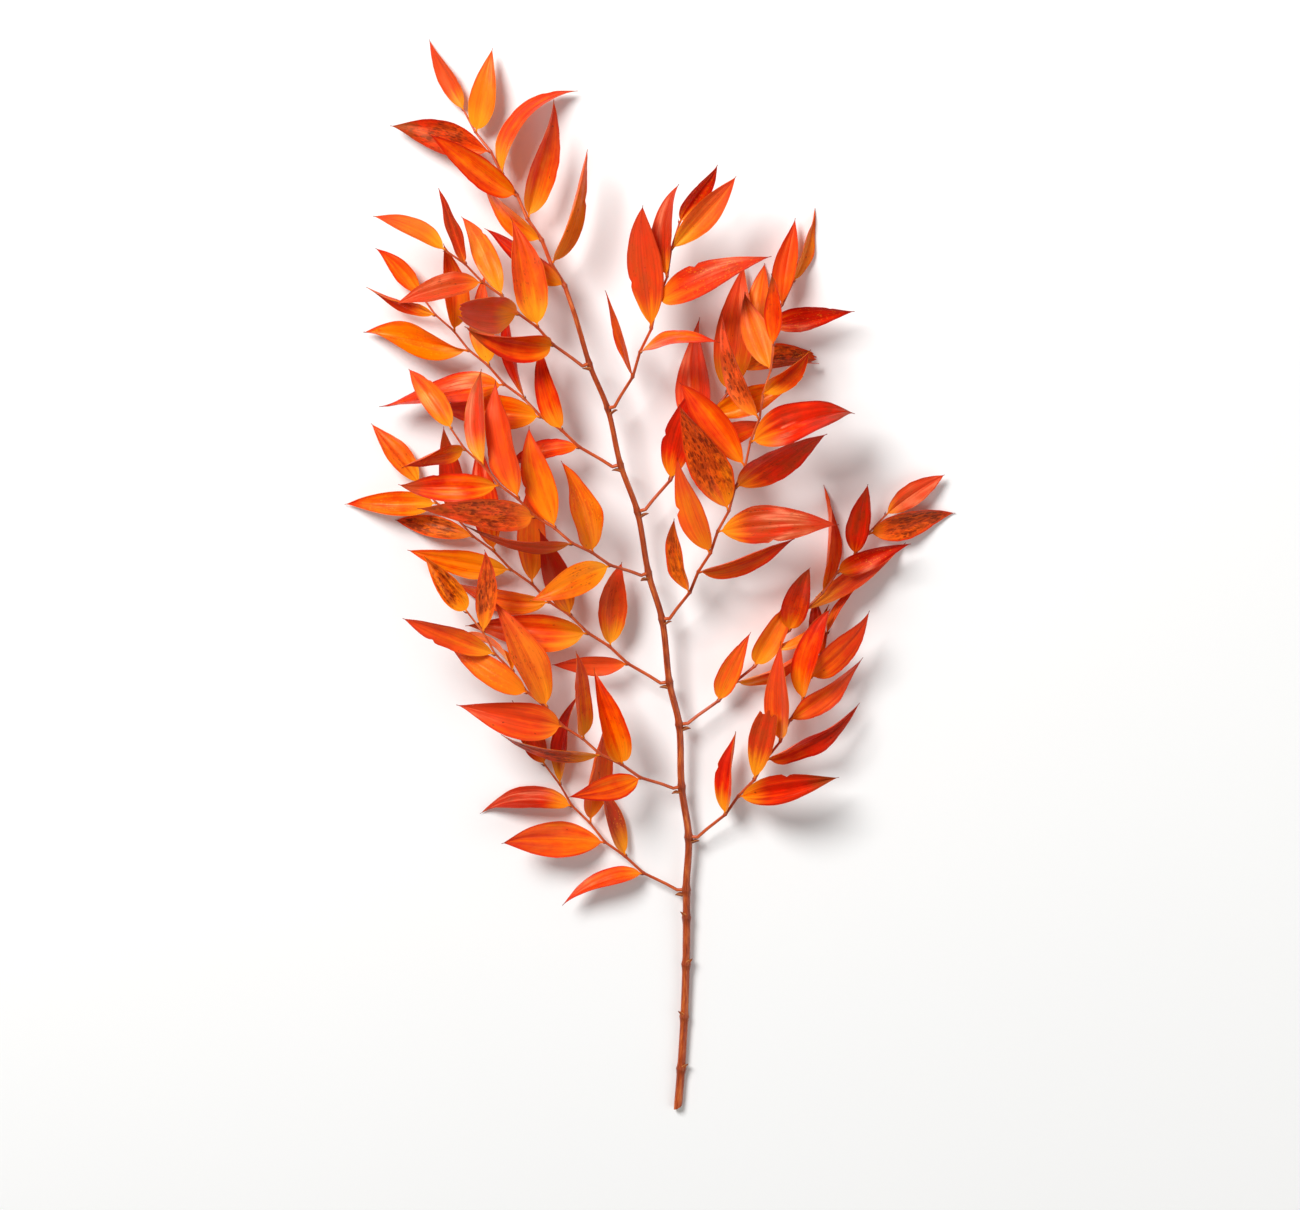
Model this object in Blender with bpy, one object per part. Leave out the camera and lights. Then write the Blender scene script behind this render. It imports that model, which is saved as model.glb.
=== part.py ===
"""A cut stem of dried, dyed ruscus, lying on its side.

One woody stem carries side sprays on alternate sides and ends in a spray of its own. A spray is a
zigzag twig with pointed, leathery leaves, one at each bend and one at its end.

Metres, +Z up. The stem runs along +Y from its cut end and lies on the surface z = 0. The origin is
on that surface, under the middle of the whole stem's outline.
"""

import math
import random
from dataclasses import dataclass

import bmesh
import bpy
from mathutils import Matrix, Quaternion, Vector
from mathutils.bvhtree import BVHTree

# The woody stem
CUT_END = Vector((0.0193, -0.3663, -0.0002))
STEM_LENGTH = 0.56
STEM_BOW = 0.016
STEM_LEAN = 0.070
STEM_RISE = 0.026
STEM_RADIUS = 0.0029
STEM_TOP_RADIUS = 0.0016
NODE_SWELL = 1.22
CUT_SLANT = 0.0035
STEM_ZIGZAG = 0.0013

# Side sprays: where each leaves the stem, its twig's length and the angles that it grows at
SEAT_GAP = 0.0003
ELBOW = 0.0030
TWIG_RADIUS = 0.00120
TWIG_TIP_RADIUS = 0.00065
TWIG_BARE = 0.026
TIP_BARE = 0.016
INTERNODE = 0.0170
ZIGZAG = math.radians(12)

# Leaves
LEAF_LENGTH = 0.073
TORN_SHARE = 0.03
ARCHED_SHARE = 0.10
CURLED_SHARE = 0.09
CURLED_GAIN = 2.1
LEAF_DIVERGE = (28, 54)
END_LEAF_DIVERGE = (0, 10)
LEAF_RAISED = (9, 18)
LEAF_ROLL = (0, 31)
STALK_SHARE = 0.05
TAIL_SHARE = 0.022
STALK_HALF_WIDTH = 0.00062
TIP_HALF_WIDTH = 0.00034
BLADE_THICKNESS = 0.00066
STALK_THICKNESS = 0.0011
ROOT_DEPTH = 0.0006
BLADE_ROWS = 7
BLADE_COLUMNS = 2
SCALE_ROWS = 3
CLEARANCE = 0.0016
MOST_TRIES = 240
SHRINK_PER_TRY = 0.992

# The surface that the stem lies on: what would reach under it is pressed flat on it
PRESS_SOFTNESS = 0.0030
DEEPEST = 0.0065
LEAST_SLOPE = 0.05

# Scales, the small dry leaves under each branch and along the bare foot
SCALE_LENGTH = 0.0062
SCALE_SETBACK = 0.0048
NODE_BELOW = 0.0055
NODE_ABOVE = 0.0045
FOOT_SCALES = (0.028, 0.066, 0.104, 0.138)

SEED = 41


@dataclass
class Branch:
    """Where a side spray leaves the stem, how long it is, and its angles in degrees: away from the
    stem, up from the surface, curling towards the stem's tip and drooping."""

    at: float
    side: int
    length: float
    diverge: float
    lift: float
    curl: float
    droop: float


BRANCHES = (
    Branch(0.158, -1, 0.128, 62, -2, 26, 4),
    Branch(0.196, 1, 0.172, 50, 12, 22, 16),
    Branch(0.232, -1, 0.196, 62, 22, 28, 18),
    Branch(0.276, 1, 0.196, 60, -3, 10, 5),
    Branch(0.306, -1, 0.212, 50, -3, 6, 5),
    Branch(0.350, 1, 0.208, 47, 26, 18, 18),
    Branch(0.382, -1, 0.172, 56, 32, 20, 22),
    Branch(0.424, 1, 0.182, 54, -1, 2, 14),
    Branch(0.456, -1, 0.172, 43, 0, 10, 14),
    Branch(0.494, 1, 0.135, 49, 24, 12, 18),
    Branch(0.524, -1, 0.122, 37, 30, -4, 16),
)
TIP_TWIG_LENGTH = 0.150
TIP_CURL = 10
TIP_DROOP = 16


@dataclass
class Twig:
    """A twig's line from its root, and the joints on it that bear leaves."""

    name: str
    grown: list
    first_joint: int
    up: Vector
    radius: float

    @property
    def line(self):
        """The twig as it lies, held up by the surface where it would reach under it."""
        return [pressed(p, self.radius)[0] for p in self.grown]

    def radius_at(self, index):
        share = index / (len(self.grown) - 1)
        return self.radius + (TWIG_TIP_RADIUS - self.radius) * share


@dataclass
class Leaf:
    """A leaf's root, the directions across it, along it and out of its face, and its shape."""

    root: Vector
    root_rest: float
    axes: Matrix
    length: float
    reach: float
    width: float
    base_power: float
    tip_power: float
    bend: float
    curl: float
    sickle: float
    hook: float
    twist: float
    fold: float
    wave: float
    waves: float
    phase: float


def zigzag(along):
    """How far the stem steps sideways: towards each branch at its node, smoothly in between."""
    places = [(0.0, 0.0), *((b.at, b.side * STEM_ZIGZAG) for b in BRANCHES), (STEM_LENGTH, 0.0)]
    for (start, left), (end, right) in zip(places, places[1:]):
        if along <= end:
            t = max((along - start) / (end - start), 0.0)
            return left + (right - left) * t * t * (3 - 2 * t)
    return 0.0


def stem_point(along):
    """The woody stem's middle line, at a length along it from the cut end."""
    t = along / STEM_LENGTH
    sway = STEM_BOW * math.sin(math.pi * t) - STEM_LEAN * t * t + zigzag(along)
    rise = STEM_RADIUS * NODE_SWELL + STEM_RISE * t * t * (3 - 2 * t)
    return CUT_END + Vector((sway, along, rise))


def stem_direction(along):
    step = 0.001
    return (stem_point(along + step) - stem_point(along - step)).normalized()


def stem_radius(along):
    """The stem's radius, without the swellings at its nodes."""
    return STEM_RADIUS + (STEM_TOP_RADIUS - STEM_RADIUS) * along / STEM_LENGTH


def pressed(point, rest):
    """A point as it lies once the surface has pushed it up, at rest above that surface or higher,
    and how much of its slope it keeps."""
    over = (point.z - rest) / PRESS_SOFTNESS
    height = PRESS_SOFTNESS * (math.log1p(math.exp(-abs(over))) + max(over, 0.0))
    slope = 1 / (1 + math.exp(-max(over, -20.0)))
    return Vector((point.x, point.y, rest + height)), max(slope, LEAST_SLOPE)


def turned(vector, axis, angle):
    return Quaternion(axis, angle) @ vector


def grow_line(start, heading, up, length, bare, curl, droop, bend_side):
    """A zigzag line of joints that curls sideways and droops as it grows."""
    count = max(2, round((length - bare) / INTERNODE))
    joints = [start + heading * bare]
    for i in range(count):
        heading = turned(heading, up, curl / count + bend_side * ZIGZAG * (-1) ** i)
        across = heading.cross(Vector((0, 0, 1))).normalized()
        heading = turned(heading, across, -droop / count)
        up = (up - up.dot(heading) * heading).normalized()
        joints.append(joints[-1] + heading * (length - bare) / count)
    return joints


def side_twig(number, branch):
    """A side spray's twig, seated face to face on the stem's node."""
    along = stem_direction(branch.at)
    lift = math.radians(branch.lift)
    out = Vector((branch.side * math.cos(lift), 0, math.sin(lift)))
    out = (out - out.dot(along) * along).normalized()
    diverge = math.radians(branch.diverge)
    heading = math.cos(diverge) * along + math.sin(diverge) * out
    up = heading.cross(out).normalized() * -branch.side
    seat = stem_radius(branch.at) * NODE_SWELL + SEAT_GAP
    root = stem_point(branch.at) + out * seat
    elbow = root + out * ELBOW
    curl = math.radians(branch.curl) * branch.side
    droop = math.radians(branch.droop)
    joints = grow_line(
        elbow, heading, up, branch.length, TWIG_BARE, curl, droop, branch.side
    )
    line = [root, elbow, (elbow * 2 + joints[0]) / 3 + along * 0.0004, *joints]
    return Twig(f"spray_{number:02d}", line, 3, up, TWIG_RADIUS)


def tip_twig():
    """The stem's own end, which grows on as a leafy twig."""
    along = stem_direction(STEM_LENGTH)
    root = stem_point(STEM_LENGTH) + along * SEAT_GAP
    up = Vector((0, 0, 1)) - along.z * along
    up.normalize()
    curl = math.radians(TIP_CURL)
    droop = math.radians(TIP_DROOP)
    joints = grow_line(root, along, up, TIP_TWIG_LENGTH, TIP_BARE, curl, droop, 1)
    return Twig("tip_spray", [root, *joints], 1, up, STEM_TOP_RADIUS)


def half_width(leaf, v):
    """Half the leaf's breadth at v along it: a thin stalk, a rounded base and a tip drawn out into
    a fine tail."""
    blade = (v - STALK_SHARE) / (1 - STALK_SHARE - TAIL_SHARE)
    blade = min(max(blade, 0.0), 1.0)
    widest = leaf.base_power / (leaf.base_power + leaf.tip_power)
    most = widest**leaf.base_power * (1 - widest) ** leaf.tip_power
    swell = blade**leaf.base_power * (1 - blade) ** leaf.tip_power / most
    thin = STALK_HALF_WIDTH + (TIP_HALF_WIDTH - STALK_HALF_WIDTH) * v
    return thin + leaf.width / 2 * swell


def open_point(leaf, u, v):
    """A point of the leaf's middle surface and its normal there, as if nothing lay under the leaf;
    u runs from edge to edge (-1 to 1) and v from root to tip."""
    half = half_width(leaf, v)
    arc = leaf.bend * v
    centre = Vector(
        (
            leaf.length * (leaf.sickle * v * v + leaf.hook * v**6),
            leaf.length * math.sin(arc) / leaf.bend,
            -leaf.length * ((1 - math.cos(arc)) / leaf.bend + leaf.curl * v**4),
        )
    )
    roll = leaf.twist * v
    across = Vector(
        (math.cos(roll), math.sin(roll) * math.sin(arc), math.sin(roll) * math.cos(arc))
    )
    face = Vector(
        (-math.sin(roll), math.cos(roll) * math.sin(arc), math.cos(roll) * math.cos(arc))
    )
    ripple = leaf.wave * math.sin(math.tau * leaf.waves * v + leaf.phase * u)
    edge = half * (leaf.fold * abs(u) ** 1.4 + ripple * u * u)
    middle = leaf.root + leaf.axes @ (centre + across * (u * half) + face * edge)
    return middle, leaf.axes @ face


def blade_point(leaf, u, v, offset):
    """A point of the leaf as it lies, offset (in half thicknesses) from its middle surface."""
    middle, normal = open_point(leaf, u, v)
    stalk = math.exp(-((v / (2 * STALK_SHARE)) ** 2))
    thickness = BLADE_THICKNESS + (STALK_THICKNESS - BLADE_THICKNESS) * stalk
    near = math.exp(-((v / STALK_SHARE / 1.5) ** 2))
    rest = BLADE_THICKNESS / 2 + (leaf.root_rest - BLADE_THICKNESS / 2) * near
    middle, slope = pressed(middle, rest)
    normal.z /= slope
    thickness *= math.hypot(1, leaf.fold)
    return middle + normal.normalized() * (offset * thickness / 2)


def sinks(leaf):
    """Whether the leaf would have to be bent far to lie on the surface."""
    places = ((u, v) for u in (-1, 0, 1) for v in (0.25, 0.5, 0.75, 1))
    return min(open_point(leaf, u, v)[0].z for u, v in places) < -DEEPEST


def row_place(share):
    """Rows of a blade lie closer near its root and tip, where its outline turns."""
    return share - 0.11 * math.sin(math.tau * share)


def blade_mesh(leaf, rows=BLADE_ROWS, first_row=0.0, thickening=1.0):
    """A leaf's closed solid: a flat grid, split into the same triangles on both faces."""
    bm = bmesh.new()
    bmesh.ops.create_grid(bm, x_segments=BLADE_COLUMNS, y_segments=rows, size=0.5)
    bmesh.ops.triangulate(bm, faces=bm.faces, quad_method="FIXED")
    bmesh.ops.solidify(bm, geom=bm.faces, thickness=1.0)
    top = max(vert.co.z for vert in bm.verts)
    for vert in bm.verts:
        offset = thickening if abs(vert.co.z - top) < 0.5 else -thickening
        share = first_row + (leaf.reach - first_row) * row_place(vert.co.y + 0.5)
        vert.co = blade_point(leaf, 2 * vert.co.x, share, offset)
    bmesh.ops.recalc_face_normals(bm, faces=bm.faces)
    return bm


def draw_leaf(rng, twig, joint, side, size, lean):
    """A leaf at a twig's joint, drawn at random round the way that these leaves grow."""
    here = twig.grown[joint]
    ahead = (here - twig.grown[joint - 1]).normalized()
    up = (twig.up - twig.up.dot(ahead) * ahead).normalized()
    if side:
        diverge = math.radians(rng.uniform(*LEAF_DIVERGE) + lean)
    else:
        diverge = math.radians(rng.uniform(*END_LEAF_DIVERGE))
    raised = math.radians(rng.gauss(*LEAF_RAISED))
    out = ahead.cross(up) * (side or 1)
    along = math.cos(diverge) * ahead + math.sin(diverge) * (
        math.cos(raised) * out + math.sin(raised) * up
    )
    along.normalize()
    face = (up - up.dot(along) * along).normalized()
    face = turned(face, along, math.radians(rng.gauss(*LEAF_ROLL)))
    across = along.cross(face)
    length = size * rng.uniform(0.86, 1.14)
    bend = rng.uniform(0.08, 0.8) * rng.choice((1, 1, 1, -0.6))
    if rng.random() < ARCHED_SHARE:
        bend = rng.uniform(1.0, 1.7)
    curled = CURLED_GAIN if rng.random() < CURLED_SHARE else 1.0
    return Leaf(
        root=here - ahead * ROOT_DEPTH,
        root_rest=twig.radius,
        axes=Matrix((across, along, face)).transposed(),
        length=length,
        reach=rng.uniform(0.66, 0.86) if rng.random() < TORN_SHARE else 1.0,
        width=length / rng.uniform(3.0, 4.1),
        base_power=rng.uniform(0.54, 0.84),
        tip_power=rng.uniform(0.90, 1.28),
        bend=bend,
        curl=rng.uniform(-0.04, 0.12),
        sickle=rng.uniform(-0.13, 0.13),
        hook=rng.uniform(-0.06, 0.06),
        twist=rng.gauss(0, 0.5) * curled,
        fold=rng.uniform(0.12, 0.55) * curled,
        wave=rng.uniform(0.02, 0.16),
        waves=rng.uniform(0.9, 2.1),
        phase=rng.uniform(0, math.pi),
    )


class Space:
    """What has grown so far, to keep a new leaf from crossing it."""

    def __init__(self):
        self.taken = []

    def add(self, bm):
        self.taken.append((*box_of(bm), BVHTree.FromBMesh(bm)))

    def add_object(self, obj):
        bm = bmesh.new()
        bm.from_mesh(obj.data)
        self.add(bm)
        bm.free()

    def is_free(self, bm):
        low, high = box_of(bm)
        tree = BVHTree.FromBMesh(bm)
        for other_low, other_high, other in self.taken:
            apart = any(
                low[i] > other_high[i] or other_low[i] > high[i] for i in range(3)
            )
            if not apart and tree.overlap(other):
                return False
        return True


def box_of(bm):
    low = [min(vert.co[i] for vert in bm.verts) for i in range(3)]
    high = [max(vert.co[i] for vert in bm.verts) for i in range(3)]
    return low, high


def grow_leaves(twig, space, seed):
    """Leaves on alternate sides of a twig and one at its end, each drawn until it crosses nothing."""
    rng = random.Random(seed)
    lean = rng.uniform(-12, 8)
    last = len(twig.grown) - 1
    leaves = []
    for joint in range(twig.first_joint, last + 1):
        share = (joint - twig.first_joint) / (last - twig.first_joint)
        size = LEAF_LENGTH * (0.80 + 0.30 * math.sin(math.pi * share**0.75) - 0.12 * share)
        side = 0 if joint == last else (-1) ** joint
        for _ in range(MOST_TRIES):
            leaf = draw_leaf(rng, twig, joint, side, size, lean)
            if sinks(leaf):
                continue
            size *= SHRINK_PER_TRY
            probe = blade_mesh(leaf, BLADE_ROWS, 0.12, CLEARANCE / BLADE_THICKNESS)
            free = space.is_free(probe)
            if free:
                space.add(probe)
                leaves.append(leaf)
            probe.free()
            if free:
                break
    return leaves


def new_object(name, mesh, collection):
    obj = bpy.data.objects.new(name, mesh)
    collection.objects.link(obj)
    return obj


def tube(name, line, radii, sides_level, collection):
    """A round, tapering rod along a line, as a mesh with closed ends."""
    curve = bpy.data.curves.new(name, "CURVE")
    curve.dimensions = "3D"
    curve.bevel_depth = 1.0
    curve.bevel_resolution = sides_level
    curve.use_fill_caps = True
    spline = curve.splines.new("POLY")
    spline.points.add(len(line) - 1)
    for point, place, radius in zip(spline.points, line, radii):
        point.co = (*place, 1)
        point.radius = radius
    guide = new_object(name + "_line", curve, collection)
    bpy.context.view_layer.update()
    evaluated = guide.evaluated_get(bpy.context.evaluated_depsgraph_get())
    mesh = bpy.data.meshes.new_from_object(evaluated)
    bpy.data.objects.remove(guide)
    bm = bmesh.new()
    bm.from_mesh(mesh)
    bmesh.ops.remove_doubles(bm, verts=bm.verts, dist=1e-6)
    bmesh.ops.recalc_face_normals(bm, faces=bm.faces)
    bm.to_mesh(mesh)
    bm.free()
    return new_object(name, mesh, collection)


def fuse(body, pieces, scratch):
    """Joins the pieces to the body in one Boolean union, and removes them."""
    for bm in pieces:
        mesh = bpy.data.meshes.new("piece")
        bm.to_mesh(mesh)
        bm.free()
        new_object("piece", mesh, scratch)
    union = body.modifiers.new("union", "BOOLEAN")
    union.operation = "UNION"
    union.operand_type = "COLLECTION"
    union.collection = scratch
    union.solver = "EXACT"
    bpy.context.view_layer.update()
    evaluated = body.evaluated_get(bpy.context.evaluated_depsgraph_get())
    joined = bpy.data.meshes.new_from_object(evaluated)
    body.modifiers.clear()
    body.data = joined
    for obj in list(scratch.objects):
        bpy.data.objects.remove(obj)


def material(name, colour, roughness):
    made = bpy.data.materials.new(name)
    made.use_nodes = True
    shader = made.node_tree.nodes["Principled BSDF"]
    shader.inputs["Base Color"].default_value = (*colour, 1)
    shader.inputs["Roughness"].default_value = roughness
    shader.inputs["Metallic"].default_value = 0.0
    return made


def finish(obj, look):
    obj.data.materials.clear()
    obj.data.materials.append(look)
    obj.data.shade_smooth()
    obj.data.set_sharp_from_angle(angle=math.radians(40))


def scale_leaf(at, side, lift, hug):
    """A small dry scale on the stem, pointing towards the tip; hug is its angle from the stem."""
    along = stem_direction(at)
    out = Vector((side * math.cos(lift), 0, math.sin(lift)))
    out = (out - out.dot(along) * along).normalized()
    direction = math.cos(hug) * along + math.sin(hug) * out
    face = (direction.dot(out) * direction - out).normalized()
    across = direction.cross(face)
    return Leaf(
        root=stem_point(at) + out * stem_radius(at) * 0.7,
        root_rest=BLADE_THICKNESS / 2,
        axes=Matrix((across, direction, face)).transposed(),
        length=SCALE_LENGTH,
        reach=1.0,
        width=SCALE_LENGTH * 0.42,
        base_power=0.45,
        tip_power=0.9,
        bend=0.3,
        curl=0.0,
        sickle=0.0,
        hook=0.0,
        twist=0.0,
        fold=0.35,
        wave=0.0,
        waves=1.0,
        phase=0.0,
    )


def stem_stations():
    """Lengths along the stem that its rod is drawn through, with three round each node."""
    nodes = sorted([*FOOT_SCALES, *(branch.at for branch in BRANCHES)])
    stations = {0.0: 1.0, CUT_SLANT: 1.0, STEM_LENGTH: 1.0}
    for node in nodes:
        stations[node - NODE_BELOW] = 1.0
        stations[node] = NODE_SWELL
        stations[node + NODE_ABOVE] = 1.0
    return sorted(stations.items())


def woody_rod(collection):
    """The stem's rod, swollen at its nodes and cut on a slant."""
    stations = stem_stations()
    line = [stem_point(along) for along, _ in stations]
    radii = [stem_radius(along) * swell for along, swell in stations]
    stem = tube("main_stem", line, radii, 2, collection)
    foot = stem_point(0.0)
    for vert in stem.data.vertices:
        if vert.co.y < foot.y + CUT_SLANT / 2:
            vert.co.y += CUT_SLANT / 2 * (vert.co.x - foot.x) / STEM_RADIUS
    return stem


def stem_scales():
    """The scales on the bare foot, on alternate sides, and one under each branch."""
    scales = []
    for number, at in enumerate(FOOT_SCALES):
        side = (-1) ** number
        scales.append(scale_leaf(at, side, math.radians(35), math.radians(24)))
    for branch in BRANCHES:
        lift = math.radians(branch.lift)
        at = branch.at - SCALE_SETBACK
        hug = math.radians(branch.diverge + 6)
        scales.append(scale_leaf(at, branch.side, lift, hug))
    return scales


def main():
    for obj in list(bpy.data.objects):
        bpy.data.objects.remove(obj)
    parts = bpy.data.collections.new("ruscus_stem")
    scratch = bpy.data.collections.new("union_pieces")
    scratch.hide_render = True
    bpy.context.scene.collection.children.link(parts)
    bpy.context.scene.collection.children.link(scratch)
    bark = material("bark", (0.42, 0.09, 0.02), 0.55)
    leather = material("leaf", (0.80, 0.16, 0.02), 0.40)

    space = Space()
    stem = woody_rod(parts)
    space.add_object(stem)
    scales = [blade_mesh(leaf, SCALE_ROWS) for leaf in stem_scales()]
    for scale in scales:
        space.add(scale)
    fuse(stem, scales, scratch)
    finish(stem, bark)

    twigs = [side_twig(i + 1, branch) for i, branch in enumerate(BRANCHES)]
    twigs.append(tip_twig())
    rods = []
    for twig in twigs:
        radii = [twig.radius_at(i) for i in range(len(twig.grown))]
        rod = tube(twig.name, twig.line, radii, 1, parts)
        space.add_object(rod)
        rods.append(rod)
    order = sorted(range(len(twigs)), key=lambda i: twigs[i].grown[-1].z)
    for i in order:
        leaves = grow_leaves(twigs[i], space, SEED + i)
        fuse(rods[i], [blade_mesh(leaf) for leaf in leaves], scratch)
        finish(rods[i], leather)
    bpy.data.collections.remove(scratch)


if __name__ == "__main__":
    main()
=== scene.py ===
"""The looks of a cut stem of dried, dyed ruscus, lying on its side on a plain pale floor.

The cane, its scales, the twigs and the leaves replace the plain solids. Every leaf is drawn from
the same numbers as its solid, so it lies where that one does, and gets its fine form here.

Metres, +Z up. The stem runs along +Y from its cut end and lies on the surface z = 0. The origin is
on that surface, under the middle of the whole stem's outline.
"""

import math
import random
from collections import namedtuple
from dataclasses import dataclass
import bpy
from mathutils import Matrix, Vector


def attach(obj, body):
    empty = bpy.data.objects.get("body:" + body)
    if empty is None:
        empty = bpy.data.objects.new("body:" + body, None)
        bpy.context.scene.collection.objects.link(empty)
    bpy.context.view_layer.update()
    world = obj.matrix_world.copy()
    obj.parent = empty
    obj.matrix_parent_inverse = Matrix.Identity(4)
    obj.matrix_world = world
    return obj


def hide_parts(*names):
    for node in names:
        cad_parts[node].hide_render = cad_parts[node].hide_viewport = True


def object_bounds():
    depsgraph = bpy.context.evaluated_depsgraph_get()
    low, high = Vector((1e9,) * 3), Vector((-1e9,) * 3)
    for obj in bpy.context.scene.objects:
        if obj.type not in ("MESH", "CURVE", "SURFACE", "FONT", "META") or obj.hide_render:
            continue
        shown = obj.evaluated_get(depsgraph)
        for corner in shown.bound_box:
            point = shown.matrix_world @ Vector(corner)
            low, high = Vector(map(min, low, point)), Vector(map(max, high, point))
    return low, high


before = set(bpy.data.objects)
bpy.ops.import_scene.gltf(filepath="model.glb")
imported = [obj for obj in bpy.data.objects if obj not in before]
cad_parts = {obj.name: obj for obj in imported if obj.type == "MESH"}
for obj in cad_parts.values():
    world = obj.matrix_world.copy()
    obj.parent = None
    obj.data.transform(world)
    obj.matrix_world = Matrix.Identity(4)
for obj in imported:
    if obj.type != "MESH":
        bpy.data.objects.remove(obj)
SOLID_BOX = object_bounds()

from types import SimpleNamespace

import bmesh
import bpy
from bpy.props import FloatProperty, FloatVectorProperty, IntProperty, PointerProperty
from mathutils import Matrix, Quaternion, Vector, noise
from mathutils.bvhtree import BVHTree

bl_info = {
    "name": "Dried Ruscus Stem",
    "version": (1, 0, 0),
    "blender": (4, 5, 0),
    "location": "3D View > Sidebar > Ruscus",
    "description": "Makes a dyed, dried ruscus stem: its cane, scales, twigs and leaves, on a plain stage",
    "category": "Add Mesh",
}

# The woody stem
CUT_END = Vector((0.0193, -0.3663, -0.0002))
STEM_LENGTH = 0.56
STEM_BOW = 0.016
STEM_LEAN = 0.070
STEM_RISE = 0.026
STEM_RADIUS = 0.0029
STEM_TOP_RADIUS = 0.0016
NODE_SWELL = 1.22
CUT_SLANT = 0.0035
STEM_ZIGZAG = 0.0013

# Side sprays: where each leaves the stem, its twig's length and the angles that it grows at
SEAT_GAP = 0.0003
ELBOW = 0.0030
ELBOW_EASE = 0.0004
TWIG_RADIUS = 0.00120
TWIG_TIP_RADIUS = 0.00065
TWIG_BARE = 0.026
TIP_BARE = 0.016
INTERNODE = 0.0170
ZIGZAG = math.radians(12)

# Leaves. Angles are in degrees: LEAF_RAISED and LEAF_ROLL are a mean and a spread, others a range
LEAF_LENGTH = 0.073
TORN_SHARE = 0.03
ARCHED_SHARE = 0.10
CURLED_SHARE = 0.09
CURLED_GAIN = 2.1
LEAF_DIVERGE = (28, 54)
END_LEAF_DIVERGE = (0, 10)
SPRAY_LEAN = (-12, 8)
LEAF_RAISED = (9, 18)
LEAF_ROLL = (0, 31)
STALK_SHARE = 0.05
TAIL_SHARE = 0.022
STALK_HALF_WIDTH = 0.00062
TIP_HALF_WIDTH = 0.00034
BLADE_THICKNESS = 0.00066
STALK_THICKNESS = 0.0011
ROOT_DEPTH = 0.0006
BLADE_ROWS = 7
BLADE_COLUMNS = 2
SCALE_ROWS = 3
CLEARANCE = 0.0016
PROBE_START = 0.12
MOST_TRIES = 240
SHRINK_PER_TRY = 0.992

# The surface that the stem lies on: what would reach under it is pressed flat on it
PRESS_SOFTNESS = 0.0030
DEEPEST = 0.0065
LEAST_SLOPE = 0.05

# Scales, the small dry leaves under each branch and along the bare foot
SCALE_LENGTH = 0.0062
SCALE_SETBACK = 0.0048
NODE_BELOW = 0.0055
NODE_ABOVE = 0.0045
FOOT_SCALES = (0.028, 0.066, 0.104, 0.138)

# Seeds of the random draws: a twig's growth, its bracts, and the marks of a leaf or scale
SEED = 41
BRACT_SEED = 500
MARKS_SEED = 1000

# Leaves are numbered from 0 and scales from here on
FIRST_SCALE = 900

# The finer pieces stay this far above the floor
FLOOR_GAP = 0.00002

UP = Vector((0, 0, 1))

# Where each side spray leaves the stem, its side and length, and its angles in degrees: away from
# the stem, up from the surface, curling towards the stem's tip and drooping
Branch = namedtuple("Branch", "at side length diverge lift curl droop")
BRANCHES = (
    Branch(0.158, -1, 0.128, 62, -2, 26, 4),
    Branch(0.196, 1, 0.172, 50, 12, 22, 16),
    Branch(0.232, -1, 0.196, 62, 22, 28, 18),
    Branch(0.276, 1, 0.196, 60, -3, 10, 5),
    Branch(0.306, -1, 0.212, 50, -3, 6, 5),
    Branch(0.350, 1, 0.208, 47, 26, 18, 18),
    Branch(0.382, -1, 0.172, 56, 32, 20, 22),
    Branch(0.424, 1, 0.182, 54, -1, 2, 14),
    Branch(0.456, -1, 0.172, 43, 0, 10, 14),
    Branch(0.494, 1, 0.135, 49, 24, 12, 18),
    Branch(0.524, -1, 0.122, 37, 30, -4, 16),
)
NODES = (*FOOT_SCALES, *(branch.at for branch in BRANCHES))
TIP_TWIG_LENGTH = 0.150
TIP_CURL = 10
TIP_DROOP = 16


@dataclass
class Twig:
    """A twig's line from its root, and the joints on it that bear leaves."""

    name: str
    grown: list
    first_joint: int
    up: Vector
    radius: float

    @property
    def line(self):
        """The twig as it lies, held up by the surface where it would reach under it."""
        return [pressed(p, self.radius)[0] for p in self.grown]

    def radius_at(self, index):
        share = index / (len(self.grown) - 1)
        return self.radius + (TWIG_TIP_RADIUS - self.radius) * share


@dataclass
class Leaf:
    """A leaf's root, the directions across it, along it and out of its face, and its shape."""

    root: Vector
    root_rest: float
    axes: Matrix
    length: float
    width: float
    base_power: float
    tip_power: float
    bend: float
    fold: float
    reach: float = 1.0
    curl: float = 0.0
    sickle: float = 0.0
    hook: float = 0.0
    twist: float = 0.0
    wave: float = 0.0
    waves: float = 1.0
    phase: float = 0.0


def share_of(value):
    """A number kept between 0 and 1."""
    return min(max(value, 0.0), 1.0)


def eased(t):
    """A share that rises from 0 to 1 with a slow start and a slow end."""
    return t * t * (3 - 2 * t)


def bell(x):
    """1 where x is 0, fading out on both sides."""
    return math.exp(-(x**2))


def zigzag(along):
    """How far the stem steps sideways: towards each branch at its node, smoothly in between."""
    places = [(0.0, 0.0), *((b.at, b.side * STEM_ZIGZAG) for b in BRANCHES), (STEM_LENGTH, 0.0)]
    for (start, left), (end, right) in zip(places, places[1:]):
        if along <= end:
            return left + (right - left) * eased(max((along - start) / (end - start), 0.0))
    return 0.0


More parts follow.
